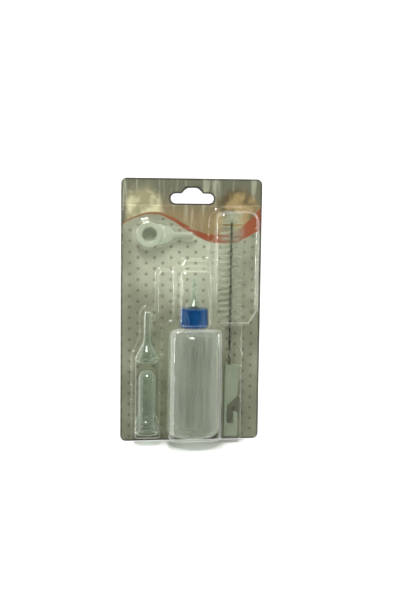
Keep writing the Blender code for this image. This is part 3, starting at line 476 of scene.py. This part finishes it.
GRID = 0.5 * MM
SKIN_VOXEL = 0.62 * MM
SKIN_ROUNDS = 3
SKIN_THICKNESS = 0.3 * MM
FLANGE_CUT = 0.45 * MM
FILLED_BACK_Y = 2.5 * MM
RAY_START = 10 * MM
RIM_STEP = 0.02
CRUMPLE_SCALE = 55.0
CRUMPLE_GENTLE = 0.17 * MM
CRUMPLE_FINE = 0.13 * MM


def front_heights(node):
    """The outer face of a CAD node as seen from the front, on an even grid."""
    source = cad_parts[node].data
    tree = BVHTree.FromPolygons(
        [v.co.copy() for v in source.vertices], [tuple(p.vertices) for p in source.polygons]
    )
    low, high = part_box(node)
    columns = round((high[0] - low[0]) / GRID)
    rows = round((high[2] - low[2]) / GRID)
    toward_card = Vector((0, 1, 0))
    heights = {}
    for i in range(columns + 1):
        x = low[0] + (high[0] - low[0]) * min(max(i, RIM_STEP), columns - RIM_STEP) / columns
        for j in range(rows + 1):
            z = low[2] + (high[2] - low[2]) * min(max(j, RIM_STEP), rows - RIM_STEP) / rows
            hit = tree.ray_cast(Vector((x, low[1] - RAY_START, z)), toward_card)[0]
            if hit is not None:
                heights[i, j] = Vector((x, hit.y - bead_lift(x, z), z))
    return heights, columns, rows


# Beads pressed into the film, as runs of (x, z) in millimetres.
BEADS = (
    ((-15.0, -59.0), (-9.8, -59.0), (-9.8, -69.6), (-15.0, -69.6), (-15.0, -59.0)),
    ((7.6, -70.0), (7.6, -61.2), (12.4, -61.2), (12.4, -70.0)),
    ((34.5, -109.0), (39.5, -117.0)),
    ((34.5, -145.0), (39.5, -153.0)),
    ((-44.5, -74.0), (-41.0, -84.0), (-43.5, -97.0)),
)
BEAD_HEIGHT = 0.8 * MM
BEAD_REACH = 1.0 * MM


def bead_lift(x, z):
    """Height of the nearest bead at a place on the film."""
    spot = Vector((x, z))
    nearest = BEAD_REACH
    for run in BEADS:
        for first, last in zip(run, run[1:]):
            start = Vector(first) * MM
            along = Vector(last) * MM - start
            share = min(max((spot - start).dot(along) / along.length_squared, 0.0), 1.0)
            nearest = min(nearest, (spot - start - along * share).length)
    return BEAD_HEIGHT * (0.5 + 0.5 * math.cos(math.pi * nearest / BEAD_REACH))


def filled_front(heights, columns, rows, back_y):
    """A closed body under the heights, down to a flat back."""
    bm = bmesh.new()
    front = {key: bm.verts.new(point) for key, point in heights.items()}
    back = {key: bm.verts.new((point.x, back_y, point.z)) for key, point in heights.items()}
    walls = {}
    for i in range(columns):
        for j in range(rows):
            ring = [(i, j), (i + 1, j), (i + 1, j + 1), (i, j + 1)]
            if all(key in front for key in ring):
                bm.faces.new([front[key] for key in ring])
                bm.faces.new([back[key] for key in reversed(ring)])
                for a, b in zip(ring, ring[1:] + ring[:1]):
                    if (b, a) in walls:
                        del walls[b, a]
                    else:
                        walls[a, b] = True
    for a, b in walls:
        bm.faces.new((front[b], front[a], back[a], back[b]))
    loose = [v for v in bm.verts if not v.link_faces]
    bmesh.ops.delete(bm, geom=loose, context="VERTS")
    return bm


def crumple(point):
    """How far the film stands off its formed shape at a point, in metres."""
    spot = Vector(point) * CRUMPLE_SCALE
    gentle = noise.noise(spot) * CRUMPLE_GENTLE
    fine = noise.noise(spot * 3.1 + Vector((7, 3, 1))) * CRUMPLE_FINE
    return gentle + fine


def blister_film(material):
    heights, columns, rows = front_heights("blister_shell")
    bm = filled_front(heights, columns, rows, FILLED_BACK_Y)
    bmesh.ops.recalc_face_normals(bm, faces=bm.faces)
    mesh = bpy.data.meshes.new("formed_film")
    bm.to_mesh(mesh)
    bm.free()
    obj = add_object("formed_film", mesh, material)
    melt_facets(obj, SKIN_VOXEL, SKIN_ROUNDS)
    apply_modifiers(obj, material)
    bm = bmesh.new()
    bm.from_mesh(obj.data)
    behind = [f for f in bm.faces if f.calc_center_median().y > -FLANGE_CUT]
    bmesh.ops.delete(bm, geom=behind, context="FACES")
    bm.normal_update()
    for vert in bm.verts:
        vert.co += vert.normal * crumple(vert.co)
    bm.to_mesh(obj.data)
    bm.free()
    shell = obj.modifiers.new("thickness", "SOLIDIFY")
    shell.thickness = SKIN_THICKNESS
    shell.offset = -1.0
    apply_modifiers(obj, material)
    obj.data.shade_smooth()
    return place_piece(obj, "blister", ["blister_shell"])


# ---------------------------------------------------------------- bottle, collar and teats


BOTTLE_NECK_RADIUS = 7.6 * MM
BOTTLE_NECK_HEIGHT = 10.0 * MM
BOTTLE_NECK_WALL = 1.3 * MM
BOTTLE_RIM_EDGE = 0.4 * MM
BOTTLE_WALL = 0.9 * MM
BOTTLE_FOOT_EDGE = 6.0 * MM
BOTTLE_SHOULDER_FLAT = 5.6 * MM
BOTTLE_SHOULDER_DROP = 2.4 * MM
BOTTLE_WAIST = 0.25 * MM


def squeeze_bottle(material):
    """Thin-walled bottle with an open neck, a barely waisted side and a pushed-up foot."""
    centre, foot, height, radius = axis_of("bottle_body")
    neck, wall, edge = BOTTLE_NECK_RADIUS, BOTTLE_WALL, BOTTLE_FOOT_EDGE
    body = height - BOTTLE_NECK_HEIGHT
    bend = radius - neck - BOTTLE_SHOULDER_FLAT
    bend_z = body - BOTTLE_SHOULDER_DROP - bend
    bore = neck - BOTTLE_NECK_WALL
    lip = BOTTLE_RIM_EDGE
    profile = arc(neck - lip, height - lip, lip, 90, 0, 3)
    profile += [(neck, body + 1.4 * MM)]
    profile += [(neck + 0.3 * MM, body + 0.5 * MM), (neck + 1.1 * MM, body - 0.05 * MM)]
    profile += arc(radius - bend, bend_z, bend, 86, 0, 12)
    for share in (0.2, 0.4, 0.6, 0.8):
        depth = BOTTLE_WAIST * math.sin(math.pi * share)
        profile.append((radius - depth, bend_z + (edge - bend_z) * share))
    profile += arc(radius - edge, edge, edge, 0, -86, 10)
    profile += [(radius * 0.55, 0.05 * MM), (radius * 0.45, 0.8 * MM), (0.0, 1.1 * MM)]
    profile += [(0.0, 1.1 * MM + wall), (radius * 0.45, 0.8 * MM + wall)]
    profile += arc(radius - edge, edge, edge - wall, -86, 0, 10)
    profile += arc(radius - bend, bend_z, bend - wall, 0, 86, 12)
    profile += [(bore + 0.5 * MM, body - wall), (bore, body + 0.3 * MM)]
    profile += [(bore, height)]
    bm = bmesh.new()
    lathe_into(bm, profile, (centre[0], centre[1], foot), 112)
    obj = add_object("squeeze_bottle", mesh_from("squeeze_bottle", bm, 50.0), material)
    return place_piece(obj, "card", ["bottle_body"])


COLLAR_WALL = 1.4 * MM
COLLAR_HOLE_RADIUS = 6.85 * MM
COLLAR_LIP = 1.5 * MM
COLLAR_TAPER = 0.3 * MM
COLLAR_RIBS = 40
STEPS_PER_RIB = 6
RIB_DEPTH = 0.16 * MM


def ribbed_collar(material):
    """The blue collar: fine upright ribs round its skirt and a rolled lip over the teat."""
    centre, foot, height, radius = axis_of("screw_collar")
    bore, hole, lip = radius - COLLAR_WALL, COLLAR_HOLE_RADIUS, COLLAR_LIP
    top = radius - COLLAR_TAPER
    # Each level is (height above the foot, radius, whether the ribs are cut there).
    levels = [
        (0.0, bore + 0.2 * MM, False),
        (0.0, radius - 0.3 * MM, False),
        (0.25 * MM, radius, False),
        (1.3 * MM, radius, False),
        (1.7 * MM, radius, True),
        (height - 1.9 * MM, top, True),
        (height - 1.5 * MM, top, False),
        (height - 0.8 * MM, top, False),
        (height - 0.25 * MM, top - 0.25 * MM, False),
        (height, top - 0.8 * MM, False),
        (height, hole + 0.35 * MM, False),
        (height - 0.3 * MM, hole, False),
        (height - lip, hole, False),
        (height - lip, bore, False),
    ]
    bm = bmesh.new()
    count = COLLAR_RIBS * STEPS_PER_RIB
    rings = []
    for level, reach, ribbed in levels:
        ring = []
        for i in range(count):
            angle = math.tau * i / count
            dip = RIB_DEPTH * (0.5 - 0.5 * math.cos(angle * COLLAR_RIBS)) if ribbed else 0.0
            x = centre[0] + (reach - dip) * math.cos(angle)
            y = centre[1] + (reach - dip) * math.sin(angle)
            ring.append(bm.verts.new((x, y, foot + level)))
        rings.append(ring)
    for lower, upper in zip(rings, rings[1:] + rings[:1]):
        for i in range(count):
            bm.faces.new((lower[i - 1], lower[i], upper[i], upper[i - 1]))
    obj = add_object("ribbed_collar", mesh_from("ribbed_collar", bm, 40.0), material)
    return place_piece(obj, "collar", ["screw_collar"])


TEAT_WALL = 1.0 * MM
TEAT_STEP = 0.8 * MM
TEAT_HOLE_RADIUS = 0.5 * MM
TEAT_BEAD = 0.35 * MM


def teat_profile(flange_radius, flange, base, swell, tube, length):
    """Flange, a base that narrows into the tube, a rounded tip with its hole, and the inside."""
    wall, step, hole, bead = TEAT_WALL, TEAT_STEP, TEAT_HOLE_RADIUS, TEAT_BEAD
    tube_foot = flange + step + swell
    tip = tube_foot + length
    outer = [(hole, tip)] + arc(tube - tube * 0.5, tip - tube * 0.5, tube * 0.5, 80, 0, 6)
    outer += [(tube, tip - 0.30 * length), (tube * 0.97, tip - 0.6 * length)]
    for i in range(17):
        ease = 0.5 - 0.5 * math.cos(math.pi * i / 16)
        outer.append((tube + (base - tube) * ease, tube_foot - swell * i / 16))
    outer += [(base, flange + 0.2 * MM), (base + 0.25 * MM, flange)]
    outer += [(flange_radius - bead, flange), (flange_radius, flange - bead)]
    outer += [(flange_radius, bead), (flange_radius - bead, 0.0)]
    inner = [(base - wall, 0.0)]
    for i in range(17):
        ease = 0.5 + 0.5 * math.cos(math.pi * i / 16)
        height = flange + step + swell * i / 16 - wall / 2
        inner.append((tube + (base - tube) * ease - wall, height))
    inner += [(tube - wall, tip - 2 * wall), (hole, tip - wall)]
    return outer + inner


def teat(name, node, body, material, flange, base, swell, tube):
    """A straight teat; swell is the height over which its base narrows into the tube."""
    centre, foot, height, radius = axis_of(node)
    length = height - flange - TEAT_STEP - swell
    profile = teat_profile(radius, flange, base, swell, tube, length)
    bm = bmesh.new()
    lathe_into(bm, profile, (centre[0], centre[1], foot), 72)
    obj = add_object(name, mesh_from(name, bm, 50.0), material)
    return place_piece(obj, body, [node])


SLEEVE_RADIUS = 6.5 * MM
SLEEVE_WALL = 0.9 * MM
SLEEVE_FLARE_HEIGHT = 13.5 * MM
NUB_ROWS = 5
NUB_COLUMNS = 5
NUB_SPREAD = math.radians(26.0)
NUB_ROW_GAP = 2.4 * MM
NUB_SUNK = 0.2 * MM
NUB_PROFILE = (
    [(0.0, 1.65 * MM)]
    + arc(0, 1.3 * MM, 0.34 * MM, 60, 0, 3)
    + [(0.5 * MM, 0.2 * MM), (0.6 * MM, 0.0), (0.0, 0.0)]
)


def finger_sleeve(material, nub_material):
    """The finger toothbrush: a closed sleeve, a beaded foot and rows of soft nubs."""
    centre, foot, height, foot_radius = axis_of("finger_toothbrush")
    radius, wall, flare = SLEEVE_RADIUS, SLEEVE_WALL, SLEEVE_FLARE_HEIGHT
    outer = arc(0, height - radius, radius, 90, 0, 16)
    outer[0] = (0.0, height)
    outer += [(radius, flare + 1.2 * MM), (radius + 0.1 * MM, flare)]
    outer += arc(radius + 0.7 * MM, flare - 2.0 * MM, 0.9 * MM, 70, -60, 6)
    outer += arc(radius + 1.6 * MM, flare - 5.2 * MM, 1.0 * MM, 70, -60, 6)
    outer += arc(foot_radius - 1.0 * MM, 3.4 * MM, 1.0 * MM, 80, -50, 6)
    outer += arc(foot_radius - 0.8 * MM, 0.8 * MM, 0.8 * MM, 40, -90, 6)
    bore = radius - wall
    inner = [(bore + 1.0 * MM, 0.0), (bore + 0.4 * MM, 3.0 * MM), (bore, flare / 2)]
    inner += arc(0, height - radius, bore, 0, 90, 16)
    inner[-1] = (0.0, height - wall)
    bm = bmesh.new()
    place = Vector((centre[0], centre[1], foot))
    lathe_into(bm, outer + inner, place, 72)
    sleeve_faces = len(bm.faces)
    for row in range(NUB_ROWS):
        for column in range(NUB_COLUMNS):
            angle = NUB_SPREAD * (column - NUB_COLUMNS // 2)
            outward = Vector((math.sin(angle), -math.cos(angle), 0.0))
            root = place + outward * (radius - NUB_SUNK)
            root.z += height - radius - row * NUB_ROW_GAP
            lie = outward.to_track_quat("Z", "Y").to_matrix().to_4x4()
            lathe_into(bm, NUB_PROFILE, root, 12, lie)
    bm.faces.ensure_lookup_table()
    for face in bm.faces[sleeve_faces:]:
        face.material_index = 1
    obj = add_object("finger_sleeve", mesh_from("finger_sleeve", bm, 50.0), material)
    obj.data.materials.append(nub_material)
    return place_piece(obj, "card", ["finger_toothbrush"])


# ---------------------------------------------------------------- brush


TWIST_TIGHT = 2.6 * MM
STRAND_OFFSET = 0.60 * MM
STRAND_RADIUS = 0.54 * MM
STRAND_STEP = 0.22 * MM
TIP_LOOP = 1.2 * MM


def tube_along(bm, points, radii, sides):
    """A closed tube along points; its frame is carried along so that it doesn't twist."""
    normal = None
    rings = []
    for index, point in enumerate(points):
        ahead = points[min(index + 1, len(points) - 1)] - points[max(index - 1, 0)]
        ahead.normalize()
        if normal is None:
            normal = ahead.orthogonal().normalized()
        normal = (normal - ahead * normal.dot(ahead)).normalized()
        side = ahead.cross(normal)
        radius = radii[index]
        ring = []
        for k in range(sides):
            angle = math.tau * k / sides
            across = normal * radius * math.cos(angle) + side * radius * math.sin(angle)
            ring.append(bm.verts.new(point + across))
        rings.append(ring)
    for lower, upper in zip(rings, rings[1:]):
        for k in range(sides):
            bm.faces.new((lower[k - 1], lower[k], upper[k], upper[k - 1]))
    bm.faces.new(rings[0][::-1])
    bm.faces.new(rings[-1])


def twisted_wire(material, bristle_foot, pitch):
    """One wire folded at the tip and twisted on itself, tighter where it carries no bristles."""
    centre, foot, height, _ = axis_of("brush_wire")
    axis = Vector((centre[0], centre[1], 0.0))
    top = foot + height - TIP_LOOP
    strands = [[], []]
    z, turn = foot, 0.0
    while z < top:
        blend = min(max((z - bristle_foot + 2 * MM) / (4 * MM), 0.0), 1.0)
        turn += math.tau * STRAND_STEP / (TWIST_TIGHT + (pitch - TWIST_TIGHT) * blend)
        z += STRAND_STEP
        for strand, phase in zip(strands, (0.0, math.pi)):
            angle = turn + phase
            outward = Vector((math.cos(angle), math.sin(angle), 0.0))
            strand.append(axis + outward * STRAND_OFFSET + Vector((0, 0, z)))
    left, right = strands[0][-1], strands[1][-1]
    middle = (left + right) / 2
    reach = (left - middle) * 1.15
    rise = Vector((0, 0, TIP_LOOP - STRAND_RADIUS))
    angles = [math.pi * i / 10 for i in range(1, 10)]
    loop = [middle + reach * math.cos(a) + rise * math.sin(a) for a in angles]
    path = strands[0] + loop + strands[1][::-1]
    bm = bmesh.new()
    tube_along(bm, path, [STRAND_RADIUS] * len(path), 8)
    obj = add_object("twisted_wire", mesh_from("twisted_wire", bm, 60.0), material)
    return place_piece(obj, "card", ["brush_wire"])


FILAMENTS = 84
FILAMENT_RADIUS = 0.05 * MM
FILAMENT_DROOP = 0.35 * MM
FILAMENT_ROOT = 0.4 * MM
TUFT_FILAMENTS = 520
TUFT_LEANS = (10, 22, 34, 46, 60, 74, 86)
TUFT_DROOP = 0.3 * MM
TUFT_ROOT = 0.5 * MM
TUFT_ROOT_HEIGHT = 2.0 * MM


def filament(bm, root, outward, length, droop):
    """One thin filament that bends a little at random, most at its end."""
    bend = Vector((RNG.uniform(-1, 1), RNG.uniform(-1, 1), RNG.uniform(-1, 1))) * droop
    shares = (0.0, 0.5, 1.0)
    points = [root + outward * (length * share) + bend * share * share for share in shares]
    tube_along(bm, points, [FILAMENT_RADIUS, FILAMENT_RADIUS, FILAMENT_RADIUS * 0.8], 3)


def bristle_turns(material):
    """Filaments pinched by the twist: each crosses the wire, so they stand out both ways."""
    names = sorted(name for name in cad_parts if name.startswith("bristle_turn_"))
    boxes = [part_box(name) for name in names]
    middles = [(low[2] + high[2]) / 2 for low, high in boxes]
    pitch = middles[1] - middles[0]
    for name, (low, high), middle in zip(names, boxes, middles):
        centre = Vector(((low[0] + high[0]) / 2, (low[1] + high[1]) / 2, middle))
        reach = (high[0] - low[0]) / 2
        bm = bmesh.new()
        for i in range(FILAMENTS):
            share = i / FILAMENTS
            angle = math.pi * share + RNG.uniform(-0.05, 0.05)
            for end in (0.0, math.pi):
                spoke = angle + end
                outward = Vector((math.cos(spoke), math.sin(spoke), RNG.uniform(-0.16, 0.16)))
                outward.normalize()
                root = centre + outward * FILAMENT_ROOT
                root.z = middle + (share - 0.5 + RNG.uniform(-0.22, 0.22)) * pitch
                length = reach * RNG.uniform(0.90, 0.985) - FILAMENT_ROOT
                filament(bm, root, outward, length, FILAMENT_DROOP)
        obj = add_object(name + "_filaments", mesh_from(name, bm, 60.0), material)
        place_piece(obj, "card", [name])
    return middles[0] - pitch / 2, pitch


def end_tuft(material):
    """Filaments that fan up and out past the end of the wire."""
    low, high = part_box("bristle_end_tuft")
    foot = low[2] + TUFT_ROOT_HEIGHT
    centre = Vector(((low[0] + high[0]) / 2, (low[1] + high[1]) / 2, foot))
    reach = (high[0] - low[0]) / 2
    rise = high[2] - centre.z
    bm = bmesh.new()
    for _ in range(TUFT_FILAMENTS):
        spoke = RNG.uniform(0.0, math.tau)
        lean = math.radians(RNG.choice(TUFT_LEANS) + RNG.uniform(-6, 6))
        flat = math.sin(lean)
        outward = Vector((flat * math.cos(spoke), flat * math.sin(spoke), math.cos(lean)))
        length = min(rise / max(outward.z, 0.05), reach / max(flat, 0.05))
        root = centre + Vector((outward.x, outward.y, 0.0)) * TUFT_ROOT
        filament(bm, root, outward, length * RNG.uniform(0.85, 0.95), TUFT_DROOP)
    obj = add_object("tuft_filaments", mesh_from("tuft_filaments", bm, 60.0), material)
    return place_piece(obj, "card", ["bristle_end_tuft"])


# ---------------------------------------------------------------- header film


HEADER_CELL = 0.8 * MM
HEADER_MARGIN = MM
HEADER_THICKNESS = 0.2 * MM
HEADER_WRINKLE_SCALE = 90.0
HEADER_WRINKLE = 0.10 * MM
STENCIL_DEPTH = 8


def header_skin(material):
    """The sealed film over the header: a slack, wrinkled sheet cut to the CAD's outline."""
    low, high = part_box("header_film")
    columns = round((high[0] - low[0]) / HEADER_CELL)
    rows = round((high[2] - low[2]) / HEADER_CELL)
    bm = bmesh.new()
    middle = (low[1] + high[1]) / 2
    grid = []
    for i in range(columns + 1):
        line = []
        for j in range(rows + 1):
            x = low[0] - HEADER_MARGIN + (high[0] - low[0] + 2 * HEADER_MARGIN) * i / columns
            z = low[2] - HEADER_MARGIN + (high[2] - low[2] + 2 * HEADER_MARGIN) * j / rows
            lift = noise.noise(Vector((x, 0, z)) * HEADER_WRINKLE_SCALE) * HEADER_WRINKLE
            line.append(bm.verts.new((x, middle + lift, z)))
        grid.append(line)
    for i in range(columns):
        for j in range(rows):
            bm.faces.new((grid[i][j], grid[i + 1][j], grid[i + 1][j + 1], grid[i][j + 1]))
    obj = add_object("header_skin", mesh_from("header_skin", bm), material)
    shell = obj.modifiers.new("thickness", "SOLIDIFY")
    shell.thickness = HEADER_THICKNESS
    shell.offset = 0.0
    stencil = add_object("header_stencil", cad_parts["header_film"].data.copy(), material)
    for vertex in stencil.data.vertices:
        vertex.co.y = middle + (vertex.co.y - middle) * STENCIL_DEPTH
    trim = obj.modifiers.new("outline", "BOOLEAN")
    trim.operation = "INTERSECT"
    trim.object = stencil
    apply_modifiers(obj, material)
    bpy.data.objects.remove(stencil, do_unlink=True)
    obj.data.shade_smooth()
    obj.data.set_sharp_from_angle(angle=math.radians(40))
    return place_piece(obj, "card", ["header_film"])


# ---------------------------------------------------------------- stage


CAMERA_AZIMUTH = math.radians(-8.2)
CAMERA_ELEVATION = math.radians(6.35)
CAMERA_ROLL = math.radians(0.75)
CAMERA_DISTANCE = 0.750
CAMERA_AIM = Vector((6.7 * MM, 0.0, -75.0 * MM))
CAMERA_LENS = 60.5


def camera():
    level = math.cos(CAMERA_ELEVATION)
    out = Vector((
        math.sin(CAMERA_AZIMUTH) * level,
        -math.cos(CAMERA_AZIMUTH) * level,
        math.sin(CAMERA_ELEVATION),
    ))
    data = bpy.data.cameras.new("camera")
    data.lens = CAMERA_LENS
    data.sensor_width = 36.0
    data.clip_start = 0.01
    obj = bpy.data.objects.new("camera", data)
    bpy.context.scene.collection.objects.link(obj)
    obj.location = CAMERA_AIM + out * CAMERA_DISTANCE
    upright = out.to_track_quat("Z", "Y").to_matrix().to_4x4()
    obj.rotation_euler = (upright @ Matrix.Rotation(CAMERA_ROLL, 4, "Z")).to_euler()
    bpy.context.scene.camera = obj


FLOOR_HALF = 60.0
SKY = 1.4
# A dark sheet behind the camera and unseen by it, for the film's flat faces to reflect.
FLAG_HALF = 3.0
FLAG_Y = -0.95
# Lights as (name, place, size, watts), all turned to LIGHT_AIM.
LIGHT_AIM = (0, 0, -0.083)
LIGHTS = (
    ("key", (-0.18, -0.62, 0.72), (0.24, 0.24), 11.0),
    ("strip", (0.75, -0.60, 0.05), (0.05, 0.6), 2.6),
    ("rim", (-0.9, -0.45, -0.05), (0.05, 0.5), 1.6),
)
FLOOR_GAP = 0.5 * MM
# Film, silicone and bottle walls lie many deep along one ray.
SEE_THROUGH_LAYERS = 48


def flat_sheet(name, half):
    bm = bmesh.new()
    bmesh.ops.create_grid(bm, x_segments=1, y_segments=1, size=half)
    return mesh_from(name, bm)


def soft_light(name, place, size, watts):
    data = bpy.data.lights.new(name, "AREA")
    data.shape = "RECTANGLE"
    data.size, data.size_y = size
    data.energy = watts
    obj = bpy.data.objects.new(name, data)
    bpy.context.scene.collection.objects.link(obj)
    obj.location = place
    obj.rotation_euler = (Vector(place) - Vector(LIGHT_AIM)).to_track_quat("Z", "Y").to_euler()


def studio():
    floor_z = CAD_BOX[0][2] - FLOOR_GAP
    floor = add_object("floor", flat_sheet("floor", FLOOR_HALF), floor_material())
    floor.location = (0, 0, floor_z)
    floor.visible_glossy = False
    world = bpy.data.worlds.new("studio")
    bpy.context.scene.world = world
    world.use_nodes = True
    sky = world.node_tree.nodes["Background"]
    sky.inputs["Color"].default_value = (1.0, 1.0, 1.0, 1.0)
    sky.inputs["Strength"].default_value = SKY
    flag = add_object("flag", flat_sheet("flag", FLAG_HALF), flag_material())
    flag.rotation_euler = (math.pi / 2, 0, 0)
    flag.location = (0, FLAG_Y, floor_z)
    flag.visible_camera = False
    for light in LIGHTS:
        soft_light(*light)
    bpy.context.scene.view_settings.view_transform = "Standard"
    bpy.context.scene.cycles.transparent_max_bounces = SEE_THROUGH_LAYERS


def flag_material():
    g = Graph("black_felt")
    tone = g.noise(40.0, 2.0)
    colour = g.mix(g.step(tone, 0.3, 0.7), (0.015, 0.015, 0.015), (0.03, 0.03, 0.03))
    return g.done(g.node("BsdfDiffuse", {"Color": colour}).outputs[0])


def floor_material():
    g = Graph("pale_floor")
    tone = g.noise(3.0, 2.0)
    colour = g.mix(g.step(tone, 0.3, 0.7), (0.93, 0.93, 0.93), (0.96, 0.96, 0.96))
    return g.done(g.principled(colour, 0.7))


# ---------------------------------------------------------------- assembly


camera()
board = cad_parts["backing_card"].data
board.materials.clear()
board.materials.append(print_material())

clear = film_material("formed_film", (0.965, 0.975, 0.96), 0.07, 0.25)
sealed = film_material("sealed_film", (0.955, 0.965, 0.95), 0.16, 0.8)
silicone = milky_material("clear_silicone", (0.80, 0.83, 0.73), 0.05, 0.75, 0.1)
milky = milky_material("milky_silicone", (0.70, 0.74, 0.61), 0.8, 0.95, 0.22)
bottle = milky_material("clouded_polythene", (0.60, 0.61, 0.53), 0.25, 0.66, 0.22, streak=0.07)

blister_film(clear)
header_skin(sealed)
squeeze_bottle(bottle)
ribbed_collar(collar_material())
teat("nursing_teat", "fitted_teat", "teat", silicone, 1.8 * MM, 6.55 * MM, 10.2 * MM, 2.6 * MM)
teat("long_teat", "spare_teat_long", "card", silicone, 3.2 * MM, 7.2 * MM, 11.7 * MM, 2.6 * MM)
bent = softened("bent_teat", "spare_teat_bent", milky, 0.35 * MM, 8)
place_piece(bent, "card", ["spare_teat_bent"])
finger_sleeve(silicone, milky)
handle = softened("hook_handle", "brush_handle", handle_material(), 0.28 * MM, 3)
place_piece(handle, "card", ["brush_handle"])
nylon = bristle_material()
bristle_foot, bristle_pitch = bristle_turns(nylon)
end_tuft(nylon)
twisted_wire(wire_material(), bristle_foot, bristle_pitch)
studio()
